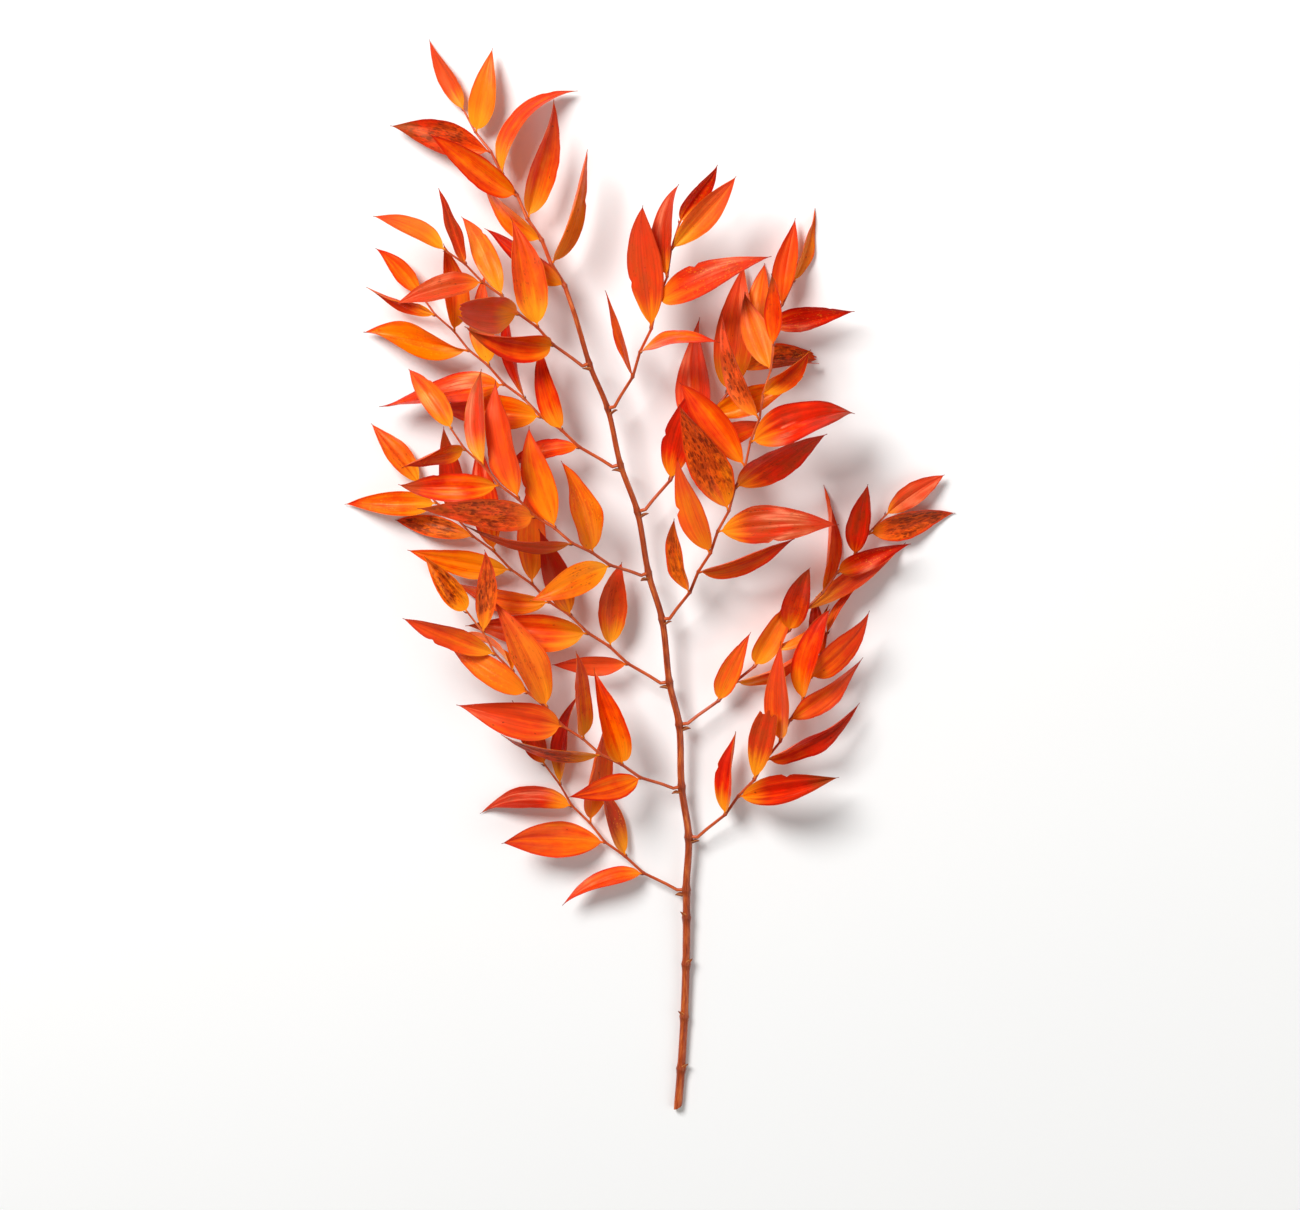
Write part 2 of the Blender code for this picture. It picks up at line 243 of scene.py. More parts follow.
def stem_point(along):
    """The woody stem's middle line, at a length along it from the cut end."""
    t = along / STEM_LENGTH
    sway = STEM_BOW * math.sin(math.pi * t) - STEM_LEAN * t * t + zigzag(along)
    return CUT_END + Vector((sway, along, STEM_RADIUS * NODE_SWELL + STEM_RISE * eased(t)))


def stem_direction(along):
    step = 0.001
    return (stem_point(along + step) - stem_point(along - step)).normalized()


def stem_radius(along):
    """The stem's radius, without the swellings at its nodes."""
    return STEM_RADIUS + (STEM_TOP_RADIUS - STEM_RADIUS) * along / STEM_LENGTH


def pressed(point, rest):
    """A point as it lies once the surface has pushed it up, at rest above that surface or higher,
    and how much of its slope it keeps."""
    over = (point.z - rest) / PRESS_SOFTNESS
    height = PRESS_SOFTNESS * (math.log1p(math.exp(-abs(over))) + max(over, 0.0))
    slope = 1 / (1 + math.exp(-max(over, -20.0)))
    return Vector((point.x, point.y, rest + height)), max(slope, LEAST_SLOPE)


def square_to(vector, axis):
    """The part of a vector that is square to a unit axis, made a unit long."""
    return (vector - vector.dot(axis) * axis).normalized()


def outwards(side, lift, along):
    """The way out of the stem to one side, lifted by some degrees and square to the stem."""
    lift = math.radians(lift)
    return square_to(Vector((side * math.cos(lift), 0, math.sin(lift))), along)


def turned(vector, axis, angle):
    return Quaternion(axis, angle) @ vector


def grow_line(start, heading, up, length, bare, curl, droop, bend_side):
    """A zigzag line of joints that curls sideways and droops as it grows."""
    count = max(2, round((length - bare) / INTERNODE))
    joints = [start + heading * bare]
    for i in range(count):
        heading = turned(heading, up, curl / count + bend_side * ZIGZAG * (-1) ** i)
        across = heading.cross(UP).normalized()
        heading = turned(heading, across, -droop / count)
        up = square_to(up, heading)
        joints.append(joints[-1] + heading * (length - bare) / count)
    return joints


def side_twig(number, branch):
    """A side spray's twig, seated face to face on the stem's node."""
    along = stem_direction(branch.at)
    out = outwards(branch.side, branch.lift, along)
    diverge = math.radians(branch.diverge)
    heading = math.cos(diverge) * along + math.sin(diverge) * out
    up = heading.cross(out).normalized() * -branch.side
    root = stem_point(branch.at) + out * (stem_radius(branch.at) * NODE_SWELL + SEAT_GAP)
    elbow = root + out * ELBOW
    curl = math.radians(branch.curl) * branch.side
    droop = math.radians(branch.droop)
    joints = grow_line(elbow, heading, up, branch.length, TWIG_BARE, curl, droop, branch.side)
    line = [root, elbow, (elbow * 2 + joints[0]) / 3 + along * ELBOW_EASE, *joints]
    return Twig(f"spray_{number:02d}", line, first_joint=3, up=up, radius=TWIG_RADIUS)


def tip_twig():
    """The stem's own end, which grows on as a leafy twig."""
    along = stem_direction(STEM_LENGTH)
    root = stem_point(STEM_LENGTH) + along * SEAT_GAP
    up = square_to(UP, along)
    curl = math.radians(TIP_CURL)
    droop = math.radians(TIP_DROOP)
    joints = grow_line(root, along, up, TIP_TWIG_LENGTH, TIP_BARE, curl, droop, 1)
    return Twig("tip_spray", [root, *joints], first_joint=1, up=up, radius=STEM_TOP_RADIUS)


def half_width(leaf, v):
    """Half the leaf's breadth at v along it: a thin stalk, a rounded base and a tip drawn out into
    a fine tail."""
    blade = share_of((v - STALK_SHARE) / (1 - STALK_SHARE - TAIL_SHARE))
    widest = leaf.base_power / (leaf.base_power + leaf.tip_power)
    most = widest**leaf.base_power * (1 - widest) ** leaf.tip_power
    swell = blade**leaf.base_power * (1 - blade) ** leaf.tip_power / most
    thin = STALK_HALF_WIDTH + (TIP_HALF_WIDTH - STALK_HALF_WIDTH) * v
    return thin + leaf.width / 2 * swell


def open_point(leaf, u, v, half, keel=1.4):
    """A point of the leaf's middle surface and its normal there, as if nothing lay under the leaf;
    u runs from edge to edge (-1 to 1), v from root to tip, and a keel near 1 is a sharp fold."""
    arc = leaf.bend * v
    roll = leaf.twist * v
    side = leaf.sickle * v * v + leaf.hook * v**6
    drop = (1 - math.cos(arc)) / leaf.bend + leaf.curl * v**4
    centre = Vector((leaf.length * side, leaf.length * math.sin(arc) / leaf.bend, -leaf.length * drop))
    across = Vector((math.cos(roll), math.sin(roll) * math.sin(arc), math.sin(roll) * math.cos(arc)))
    face = Vector((-math.sin(roll), math.cos(roll) * math.sin(arc), math.cos(roll) * math.cos(arc)))
    ripple = leaf.wave * math.sin(math.tau * leaf.waves * v + leaf.phase * u)
    edge = half * (leaf.fold * abs(u) ** keel + ripple * u * u)
    middle = leaf.root + leaf.axes @ (centre + across * (u * half) + face * edge)
    return middle, leaf.axes @ face


def laid(leaf, v, middle, normal):
    """A point of the open leaf and its normal, once the surface has pushed them up."""
    near = bell(v / STALK_SHARE / 1.5)
    rest = BLADE_THICKNESS / 2 + (leaf.root_rest - BLADE_THICKNESS / 2) * near
    middle, slope = pressed(middle, rest)
    normal.z /= slope
    return middle, normal.normalized()


def blade_point(leaf, u, v, offset):
    """A point of the leaf as it lies, offset (in half thicknesses) from its middle surface."""
    middle, normal = laid(leaf, v, *open_point(leaf, u, v, half_width(leaf, v)))
    stalk = bell(v / (2 * STALK_SHARE))
    thickness = BLADE_THICKNESS + (STALK_THICKNESS - BLADE_THICKNESS) * stalk
    thickness *= math.hypot(1, leaf.fold)
    return middle + normal * (offset * thickness / 2)


def sinks(leaf):
    """Whether the leaf would have to be bent far to lie on the surface."""
    places = ((u, v) for u in (-1, 0, 1) for v in (0.25, 0.5, 0.75, 1))
    return min(open_point(leaf, u, v, half_width(leaf, v))[0].z for u, v in places) < -DEEPEST


def row_place(share):
    """Rows of a blade lie closer near its root and tip, where its outline turns."""
    return share - 0.11 * math.sin(math.tau * share)


def blade_mesh(leaf, rows=BLADE_ROWS, first_row=0.0, thickening=1.0):
    """A leaf's closed solid: a flat grid, split into the same triangles on both faces."""
    bm = bmesh.new()
    bmesh.ops.create_grid(bm, x_segments=BLADE_COLUMNS, y_segments=rows, size=0.5)
    bmesh.ops.triangulate(bm, faces=bm.faces, quad_method="FIXED")
    bmesh.ops.solidify(bm, geom=bm.faces, thickness=1.0)
    top = max(vert.co.z for vert in bm.verts)
    for vert in bm.verts:
        offset = thickening if abs(vert.co.z - top) < 0.5 else -thickening
        share = first_row + (leaf.reach - first_row) * row_place(vert.co.y + 0.5)
        vert.co = blade_point(leaf, 2 * vert.co.x, share, offset)
    bmesh.ops.recalc_face_normals(bm, faces=bm.faces)
    return bm


def draw_leaf(rng, twig, joint, side, size, lean):
    """A leaf at a twig's joint, drawn at random round the way that these leaves grow."""
    here = twig.grown[joint]
    ahead = (here - twig.grown[joint - 1]).normalized()
    up = square_to(twig.up, ahead)
    if side:
        diverge = math.radians(rng.uniform(*LEAF_DIVERGE) + lean)
    else:
        diverge = math.radians(rng.uniform(*END_LEAF_DIVERGE))
    raised = math.radians(rng.gauss(*LEAF_RAISED))
    out = ahead.cross(up) * (side or 1)
    rising = math.cos(raised) * out + math.sin(raised) * up
    along = (math.cos(diverge) * ahead + math.sin(diverge) * rising).normalized()
    face = turned(square_to(up, along), along, math.radians(rng.gauss(*LEAF_ROLL)))
    across = along.cross(face)
    length = size * rng.uniform(0.86, 1.14)
    bend = rng.uniform(0.08, 0.8) * rng.choice((1, 1, 1, -0.6))
    if rng.random() < ARCHED_SHARE:
        bend = rng.uniform(1.0, 1.7)
    curled = CURLED_GAIN if rng.random() < CURLED_SHARE else 1.0
    return Leaf(
        root=here - ahead * ROOT_DEPTH,
        root_rest=twig.radius,
        axes=Matrix((across, along, face)).transposed(),
        length=length,
        reach=rng.uniform(0.66, 0.86) if rng.random() < TORN_SHARE else 1.0,
        width=length / rng.uniform(3.0, 4.1),
        base_power=rng.uniform(0.54, 0.84),
        tip_power=rng.uniform(0.90, 1.28),
        bend=bend,
        curl=rng.uniform(-0.04, 0.12),
        sickle=rng.uniform(-0.13, 0.13),
        hook=rng.uniform(-0.06, 0.06),
        twist=rng.gauss(0, 0.5) * curled,
        fold=rng.uniform(0.12, 0.55) * curled,
        wave=rng.uniform(0.02, 0.16),
        waves=rng.uniform(0.9, 2.1),
        phase=rng.uniform(0, math.pi),
    )


class Space:
    """What has grown so far, to keep a new leaf from crossing it."""

    def __init__(self):
        self.taken = []

    def add(self, bm):
        """Takes up the room of a mesh and frees the mesh."""
        self.taken.append((*box_of(bm), BVHTree.FromBMesh(bm)))
        bm.free()

    def is_free(self, bm):
        low, high = box_of(bm)
        tree = BVHTree.FromBMesh(bm)
        for other_low, other_high, other in self.taken:
            apart = any(low[i] > other_high[i] or other_low[i] > high[i] for i in range(3))
            if not apart and tree.overlap(other):
                return False
        return True


def box_of(bm):
    low = [min(vert.co[i] for vert in bm.verts) for i in range(3)]
    high = [max(vert.co[i] for vert in bm.verts) for i in range(3)]
    return low, high


def grow_leaves(twig, space, seed):
    """Leaves on alternate sides of a twig and one at its end, each drawn until it crosses nothing."""
    rng = random.Random(seed)
    lean = rng.uniform(*SPRAY_LEAN)
    last = len(twig.grown) - 1
    leaves = []
    for joint in range(twig.first_joint, last + 1):
        share = (joint - twig.first_joint) / (last - twig.first_joint)
        size = LEAF_LENGTH * (0.80 + 0.30 * math.sin(math.pi * share**0.75) - 0.12 * share)
        side = 0 if joint == last else (-1) ** joint
        for _ in range(MOST_TRIES):
            leaf = draw_leaf(rng, twig, joint, side, size, lean)
            if sinks(leaf):
                continue
            size *= SHRINK_PER_TRY
            probe = blade_mesh(leaf, BLADE_ROWS, PROBE_START, CLEARANCE / BLADE_THICKNESS)
            if space.is_free(probe):
                space.add(probe)
                leaves.append(leaf)
                break
            probe.free()
    return leaves


def new_object(name, data):
    """An object in the scene, which takes the place of an older one of its name."""
    old = bpy.data.objects.get(name)
    if old:
        bpy.data.objects.remove(old)
    obj = bpy.data.objects.new(name, data)
    bpy.context.scene.collection.objects.link(obj)
    return obj


def mesh_of(name, bm):
    """A bmesh made a mesh, and freed."""
    mesh = bpy.data.meshes.new(name)
    bm.to_mesh(mesh)
    bm.free()
    return mesh


def tube(line, radii, sides_level):
    """A round, tapering rod along a line, closed at its ends."""
    curve = bpy.data.curves.new("guide", "CURVE")
    curve.dimensions = "3D"
    curve.bevel_depth = 1.0
    curve.bevel_resolution = sides_level
    curve.use_fill_caps = True
    spline = curve.splines.new("POLY")
    spline.points.add(len(line) - 1)
    for point, place, radius in zip(spline.points, line, radii):
        point.co = (*place, 1)
        point.radius = radius
    guide = new_object("guide", curve)
    bpy.context.view_layer.update()
    evaluated = guide.evaluated_get(bpy.context.evaluated_depsgraph_get())
    bm = bmesh.new()
    bm.from_mesh(evaluated.to_mesh())
    evaluated.to_mesh_clear()
    bpy.data.curves.remove(curve)
    bmesh.ops.remove_doubles(bm, verts=bm.verts, dist=1e-6)
    bmesh.ops.recalc_face_normals(bm, faces=bm.faces)
    return bm


def scale_leaf(at, side, lift, hug):
    """A small dry scale on the stem, pointing towards the tip. It stands lift degrees up from the
    surface and hug degrees away from the stem."""
    along = stem_direction(at)
    out = outwards(side, lift, along)
    hug = math.radians(hug)
    direction = math.cos(hug) * along + math.sin(hug) * out
    face = -square_to(out, direction)
    return Leaf(
        root=stem_point(at) + out * stem_radius(at) * 0.7,
        root_rest=BLADE_THICKNESS / 2,
        axes=Matrix((direction.cross(face), direction, face)).transposed(),
        length=SCALE_LENGTH,
        width=SCALE_LENGTH * 0.42,
        base_power=0.45,
        tip_power=0.9,
        bend=0.3,
        fold=0.35,
    )


def woody_rod():
    """The stem's rod, swollen at its nodes, with three rings round each, and cut on a slant."""
    stations = {0.0: 1.0, CUT_SLANT: 1.0, STEM_LENGTH: 1.0}
    for node in NODES:
        stations |= {node - NODE_BELOW: 1.0, node: NODE_SWELL, node + NODE_ABOVE: 1.0}
    places = sorted(stations)
    radii = [stem_radius(along) * stations[along] for along in places]
    bm = tube([stem_point(along) for along in places], radii, 2)
    foot = stem_point(0.0)
    for vert in bm.verts:
        if vert.co.y < foot.y + CUT_SLANT / 2:
            vert.co.y += CUT_SLANT / 2 * (vert.co.x - foot.x) / STEM_RADIUS
    return bm


def stem_scales():
    """The scales on the bare foot, on alternate sides, and one under each branch."""
    scales = []
    for number, at in enumerate(FOOT_SCALES):
        scales.append(scale_leaf(at, (-1) ** number, lift=35, hug=24))
    for branch in BRANCHES:
        at = branch.at - SCALE_SETBACK
        scales.append(scale_leaf(at, branch.side, lift=branch.lift, hug=branch.diverge + 6))
    return scales


def grow_plant():
    """Every twig with its leaves, grown in the order in which the solids grow."""
    space = Space()
    space.add(woody_rod())
    for leaf in stem_scales():
        space.add(blade_mesh(leaf, SCALE_ROWS))
    twigs = all_twigs()
    for twig in twigs:
        radii = [twig.radius_at(i) for i in range(len(twig.grown))]
        space.add(tube(twig.line, radii, 1))
    grown = {}
    for i in sorted(range(len(twigs)), key=lambda i: twigs[i].grown[-1].z):
        grown[twigs[i].name] = grow_leaves(twigs[i], space, SEED + i)
    return [(twig, grown[twig.name]) for twig in twigs]


def all_twigs():
    return [*(side_twig(i + 1, branch) for i, branch in enumerate(BRANCHES)), tip_twig()]


# How the finer pieces differ from the solids: the cane, with the rings that close its cut end as
# lengths past it and shares of its radius

RING_STEP = 0.0017
RING_HEIGHT = 0.00018
RING_SPREAD = 0.0005
NODE_RINGS = (-0.0003, 0.0002, 0.0007)
CUT_RINGS = ((0.00020, 0.0), (0.00017, 0.3), (0.00010, 0.8), (0.00004, 0.96))
TOP_CAP = 0.0004
CANE_GRAIN = 1.6

# The twigs, their collars at the cane, their swollen joints and their bracts, which are outlined
# in shares of their length and radius

TIP_SUNK = 0.004
COLLAR_LENGTH = 0.0030
COLLAR_SWELL = 1.32
JOINT_ABOVE = 0.0020
JOINT_BELOW = 0.0022
JOINT_SWELL = 0.30
CREST_ABOVE = 0.0008
CREST_BELOW = 0.0009
SHORT_SPAN = 0.006
TWIG_END = ((0.0, 1.25), (0.0004, 0.8), (0.0006, 0.0))
TWIG_GRAIN = 1.0
BRACT_LENGTH = 0.0026
BRACT_RADIUS = 0.00052
BRACT_SETBACK = 0.0010
BRACT_HOOK = 0.0004
BRACT_SIDES = 5
BRACT_SHAPE = ((0.0, 0.0), (0.06, 0.7), (0.3, 1.0), (0.6, 0.62), (0.85, 0.26), (1.0, 0.0))

# The leaves: the shares that are mottled, mottled or spotted, flecked, browned and nicked, their
# margins, nicks, tails and end knobs, and the angle past which an edge is sharp

MOTTLED_SHARE = 0.10
SPOTTED_SHARE = 0.42
FLECKED_SHARE = 0.16
BROWNED_SHARE = 0.14
NICKED_SHARE = 0.30
UNEVENNESS = 0.035
NICK_REACH = 0.030
NICK_STEEPNESS = 9.0
NICK_SHARPNESS = 5
TAIL_TRIM = 0.00019
KNOB_SWELL = 0.00007
KNOB_AT = 0.988
KNOB_SPREAD = 0.008
CREASE_SPREAD = 0.09
ROLL_START = 0.6
TORN_JAG = 0.07
STALK_FADE = 0.045
TAIL_START = 0.93
TAIL_FADE = 0.06
SHARP_ANGLE = math.radians(52)


def draw_marks(number):
    """How one leaf is dyed, worn and puckered, mostly as shares from 0 to 1. Most leaves are orange
    to red, and some are matt, mottled, spotted, flecked, browned or nicked."""
    rng = random.Random(MARKS_SEED + number)
    kind = rng.random()
    spots = 0.0
    if kind < MOTTLED_SHARE:
        spots = rng.uniform(0.65, 1.0)
    elif kind < SPOTTED_SHARE:
        spots = rng.uniform(0.12, 0.4)
    return SimpleNamespace(
        number=number * 7.3,
        red=share_of(rng.gauss(0.47, 0.31)),
        dull=share_of(rng.gauss(0.26, 0.38)),
        # Gold sets how far the root's gold reaches, and above 0.7 it also gives the leaf a painted golden
        # rim highlight.
        gold=rng.uniform(0.15, 1.0),
        spots=spots,
        flecks=rng.uniform(0.4, 1.0) if rng.random() < FLECKED_SHARE else 0.0,
        brown=rng.uniform(0.4, 1.0) if rng.random() < BROWNED_SHARE else 0.0,
        pleats=rng.uniform(1.5, 3.2),
        pleat_share=rng.uniform(0.3, 1.5),
        pleat_phase=rng.uniform(0, math.tau),
        rolled=rng.gauss(0, 0.7),
        keel=rng.uniform(1.05, 1.9),
        crease=rng.choice((0.1, 0.1, 0.4, 0.8, 1.2)),
        ragged=rng.uniform(0.3, 1.4),
        nick_at=rng.uniform(0.25, 0.85),
        nick_side=rng.choice((-1, 1)),
        nick_depth=rng.uniform(0.08, 0.26) if rng.random() < NICKED_SHARE else 0.0,
    )


def fine_half_width(leaf, marks, u, v):
    """The blade's half breadth with its uneven margins, its nick, its thin tail and end knob."""
    half = half_width(leaf, v)
    side = 1 if u > 0 else -1
    uneven = noise.noise(Vector((side * 3.7, v * 13, marks.number)))
    uneven += 0.4 * noise.noise(Vector((side * 9.1, v * 41, marks.number)))
    away = (v - marks.nick_at) / NICK_REACH
    nick = marks.nick_depth * math.exp(-away * away * (1.0 if away > 0 else NICK_STEEPNESS))
    if side != marks.nick_side:
        nick = 0.0
    knob = KNOB_SWELL * bell((v - KNOB_AT) / KNOB_SPREAD)
    trimmed = UNEVENNESS * marks.ragged * uneven * abs(u) - nick * abs(u) ** NICK_SHARPNESS
    return half * (1 + trimmed) - TAIL_TRIM * v + knob


def pucker(leaf, marks, looks, u, v, half):
    """How far the blade's face rises in lengthwise pleats, rolled margins and crinkles."""
    inside = (1 - u * u) * max(math.sin(math.pi * v), 0.0) ** 0.6
    wander = 0.7 * math.sin(2.3 * v + marks.pleat_phase)
    pleat = math.cos(math.pi * marks.pleats * u + marks.pleat_phase + wander)
    crease = bell(u / CREASE_SPREAD)
    rolled = marks.rolled * max(abs(u) - ROLL_START, 0.0) ** 2 * 6 * math.sin(math.pi * v)
    place = Vector((u * half * 95, v * leaf.length * 70, marks.number))
    crinkle = noise.noise(place) + 0.5 * noise.noise(place * 2.3)
    return (
        looks.pleat_depth * inside * (marks.pleat_share * pleat - marks.crease * crease)
        + looks.pleat_depth * rolled
        + looks.crinkle_depth * crinkle * share_of(v * 6)
    )


def fine_thickness(looks, u, v):
    """A leaf's thickness: its blade is thinner at its margins and thick at its stalk."""
    blade = looks.blade_thickness
    blade += (looks.margin_thickness - blade) * abs(u) ** 8
    stalk = bell(v / STALK_FADE)
    tail = share_of((v - TAIL_START) / TAIL_FADE)
    blade += (looks.stalk_thickness - blade) * stalk
    return blade + (looks.tail_thickness - blade) * tail


def torn_reach(leaf, marks, u):
    """How far along the leaf its end lies: ragged where the leaf has lost its tip."""
    if leaf.reach == 1.0:
        return 1.0
    jag = noise.noise(Vector((u * 2.6, 0.0, marks.number)))
    jag += 0.5 * noise.noise(Vector((u * 7.0, 4.0, marks.number)))
    return leaf.reach + TORN_JAG * jag


def fine_leaf(leaf, marks, looks):
    """A leaf's closed shell. Its layers hold what its material reads: "blade" holds u, v and 1 on
    the underside, "grain" millimetres across and along it and its own number, "dye" and "wear" its
    marks, and "rim" how many millimetres its margin is away."""
    bm = bmesh.new()
    vectors = bm.verts.layers.float_vector
    blade, grain, dye, wear = [vectors.new(name) for name in ("blade", "grain", "dye", "wear")]
    rim = bm.verts.layers.float.new("rim")
    bmesh.ops.create_grid(bm, x_segments=looks.columns, y_segments=looks.rows, size=0.5)
    bmesh.ops.solidify(bm, geom=bm.faces, thickness=1.0)
    top = max(vert.co.z for vert in bm.verts)
    for vert in bm.verts:
        above = abs(vert.co.z - top) < 0.5
        u = 2 * vert.co.x
        v = torn_reach(leaf, marks, u) * row_place(vert.co.y + 0.5)
        half = fine_half_width(leaf, marks, u, v)
        middle, normal = open_point(leaf, u, v, half, marks.keel)
        middle += normal * pucker(leaf, marks, looks, u, v, half)
        middle, normal = laid(leaf, v, middle, normal)
        offset = fine_thickness(looks, u, v) / 2
        vert.co = middle + normal * (offset if above else -offset)
        vert[blade] = (u, v, 0.0 if above else 1.0)
        vert[grain] = (1000 * u * half, 1000 * v * leaf.length, marks.number)
        # The gold share also picks which leaves get the painted golden rim highlight.
        vert[dye] = (marks.red, marks.dull, marks.gold)
        vert[wear] = (marks.spots, marks.flecks, marks.brown)
        vert[rim] = 1000 * half * (1 - abs(u))
    bmesh.ops.recalc_face_normals(bm, faces=bm.faces)
    return bm


def rod(rings, sides, section=None):
    """A closed rod through rings, each a place, a radius and marks. Its layers hold what its
    material reads: "grain" the millimetres across, over and along it, as if it were straight, and
    "bark" each ring's marks: how near a joint is, and 1 on a cut face and on a bract."""
    bm = bmesh.new()
    grain = bm.verts.layers.float_vector.new("grain")
    bark = bm.verts.layers.float_vector.new("bark")
    last = len(rings) - 1
    bmesh.ops.create_grid(bm, x_segments=sides, y_segments=last, size=0.5)
    line = [place for place, _, _ in rings]
    along = [0.0]
    for before, after in zip(line, line[1:]):
        along.append(along[-1] + (after - before).length)
    for vert in bm.verts:
        ring = round((vert.co.y + 0.5) * last)
        place, radius, marks = rings[ring]
        turn = math.tau * (vert.co.x + 0.5)
        ahead = (line[min(ring + 1, last)] - line[max(ring - 1, 0)]).normalized()
        across = ahead.cross(UP).normalized()
        over = across.cross(ahead)
        if section:
            radius *= section(turn, along[ring])
        vert.co = place + (math.cos(turn) * across + math.sin(turn) * over) * radius
        vert[grain] = Vector((radius * math.cos(turn), radius * math.sin(turn), along[ring])) * 1000
        vert[bark] = marks
    bmesh.ops.remove_doubles(bm, verts=bm.verts, dist=1e-7)
    bmesh.ops.recalc_face_normals(bm, faces=bm.faces)
    return bm


def merged(pieces):
    """One bmesh of several, which keeps their layers."""
    whole = pieces[0]
    for bm in pieces[1:]:
        mesh = mesh_of("part", bm)
        whole.from_mesh(mesh)
        bpy.data.meshes.remove(mesh)
    return whole


def place_piece(name, bm, look, nodes):
    """Makes the finished mesh a piece that rides on the stem and stands for its plain solids."""
    for vert in bm.verts:
        vert.co.z = max(vert.co.z, FLOOR_GAP)
    mesh = mesh_of(name, bm)
    mesh.materials.append(look)
    mesh.shade_smooth()
    mesh.set_sharp_from_angle(angle=SHARP_ANGLE)
    piece = new_object(name, mesh)
    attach(piece, "root")
    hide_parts(*nodes)


def node_closeness(along):
    """1 at the nearest node and 0 away from it, with its swelling's own length on each side."""
    most = 0.0
    for node in NODES:
        away = (along - node) / (NODE_ABOVE if along > node else NODE_BELOW)
        most = max(most, 1 - min(abs(away), 1.0))
    return eased(most)


def cane(looks):
    """The woody stem with its swollen, ringed nodes, its furrows and its slanted, paler cut."""
    count = round(STEM_LENGTH / RING_STEP)
    stations = {STEM_LENGTH * i / count for i in range(count + 1)}
    for node in NODES:
        stations |= {node + step for step in NODE_RINGS}
    cut = (0.0, 1.0, 0.0)
    rings = [(stem_point(-past), looks.radius * share, cut) for past, share in CUT_RINGS]
    for along in sorted(stations):
        near = node_closeness(along)
        ridge = RING_HEIGHT * max(bell((along - node) / RING_SPREAD) for node in NODES)
        taper = looks.radius + (looks.top_radius - looks.radius) * along / STEM_LENGTH
        radius = taper * (1 + (looks.node_swell - 1) * near) + ridge
        rings.append((stem_point(along), radius, (near, 0.0, 0.0)))
    rings.append((stem_point(STEM_LENGTH + TOP_CAP), 0.0, (0.0, 0.0, 0.0)))

    def section(turn, along):
        wander = 2.0 * math.sin(along * 31) + math.sin(along * 83)
        furrow = math.cos(7 * turn + wander) + 0.6 * math.cos(12 * turn - 1.7 * wander)
        out = Vector((math.cos(turn) * 1.6, math.sin(turn) * 1.6, along * 120))
        return 1 + looks.furrow_depth * (furrow + 1.2 * noise.noise(out))

    bm = rod(rings, looks.sides, section)
    foot = stem_point(0.0)
    for vert in bm.verts:
        reach = max(1 - (vert.co.y - foot.y) / CUT_SLANT, 0.0)
        vert.co.y += CUT_SLANT / 2 * (vert.co.x - foot.x) / looks.radius * min(reach, 1.0)
    return bm


def twig_rings(twig, start):
    """A twig's rings: it starts inside the cane, and each of its joints swells."""
    points = [start, *twig.line]
    sizes = [twig.radius, *(twig.radius_at(i) for i in range(len(twig.grown)))]
    first = twig.first_joint + 1
    rings = [(start, 0.0, (0.0, 0.0, 0.0))]
    for i in range(len(points) - 1):
        near, far = points[i], points[i + 1]
        span = (far - near).length
        steps = [0.02, 0.5]
        if span > SHORT_SPAN:
            steps = [*(at / span for at in (0.0, CREST_ABOVE, JOINT_ABOVE)), 0.35, 0.65]
            steps += [1 - at / span for at in (JOINT_BELOW, CREST_BELOW)]
        for step in steps:
            behind = max(1 - step * span / JOINT_ABOVE, 0.0) if i >= first else 0.0
            before = max(1 - (1 - step) * span / JOINT_BELOW, 0.0) if i + 1 >= first else 0.0
            joint = max(behind, before)
            radius = (sizes[i] + (sizes[i + 1] - sizes[i]) * step) * (1 + JOINT_SWELL * joint * joint)
            rings.append((near.lerp(far, step), radius, (joint, 0.0, 0.0)))
    ahead = (points[-1] - points[-2]).normalized()
    for past, share in TWIG_END:
        rings.append((points[-1] + ahead * past, sizes[-1] * share, (1.0, 0.0, 0.0)))
    return rings


def bract(twig, joint, rng):
    """The tiny dark bract that a leaf stands in, at a joint of a twig."""
    here = twig.line[joint]
    ahead = (here - twig.line[joint - 1]).normalized()
    out = ahead.cross(twig.up).normalized() * (-1) ** joint
    way = (ahead * rng.uniform(0.8, 1.0) + out * rng.uniform(0.35, 0.75)).normalized()
    base = here - ahead * BRACT_SETBACK + out * twig.radius_at(joint) * 0.75
    size = rng.uniform(0.75, 1.25)
    rings = []
    for at, wide in BRACT_SHAPE:
        place = base + way * BRACT_LENGTH * size * at + ahead * BRACT_HOOK * at * at
        rings.append((place, BRACT_RADIUS * size * wide, (0.0, 0.0, 1.0)))
    return rod(rings, BRACT_SIDES)


def twig_mesh(twig, start, sides, number):
    """A twig with its bracts, and with a collar where a side twig leaves the cane."""
    rng = random.Random(BRACT_SEED + number)
    rings = twig_rings(twig, start)
    if twig.name != "tip_spray":
        seat = rings[1][0]
        for i, (place, radius, marks) in enumerate(rings):
            near = max(1 - (place - seat).length / COLLAR_LENGTH, 0.0)
            rings[i] = (place, radius * (1 + (COLLAR_SWELL - 1) * near), marks)
    joints = range(twig.first_joint, len(twig.grown))
    return merged([rod(rings, sides), *(bract(twig, joint, rng) for joint in joints)])


class Wire:
    """A socket of a material, so that shader maths is written as plain expressions."""

    def __init__(self, look, socket):
        self.look = look
        self.socket = socket

    def __add__(self, other):
        return self.look.maths("ADD", self, other)

    __radd__ = __add__

    def __sub__(self, other):
        return self.look.maths("SUBTRACT", self, other)

    def __rsub__(self, other):
        return self.look.maths("SUBTRACT", other, self)

    def __mul__(self, other):
        return self.look.maths("MULTIPLY", self, other)

    __rmul__ = __mul__

    def __abs__(self):
        return self.look.maths("ABSOLUTE", self)


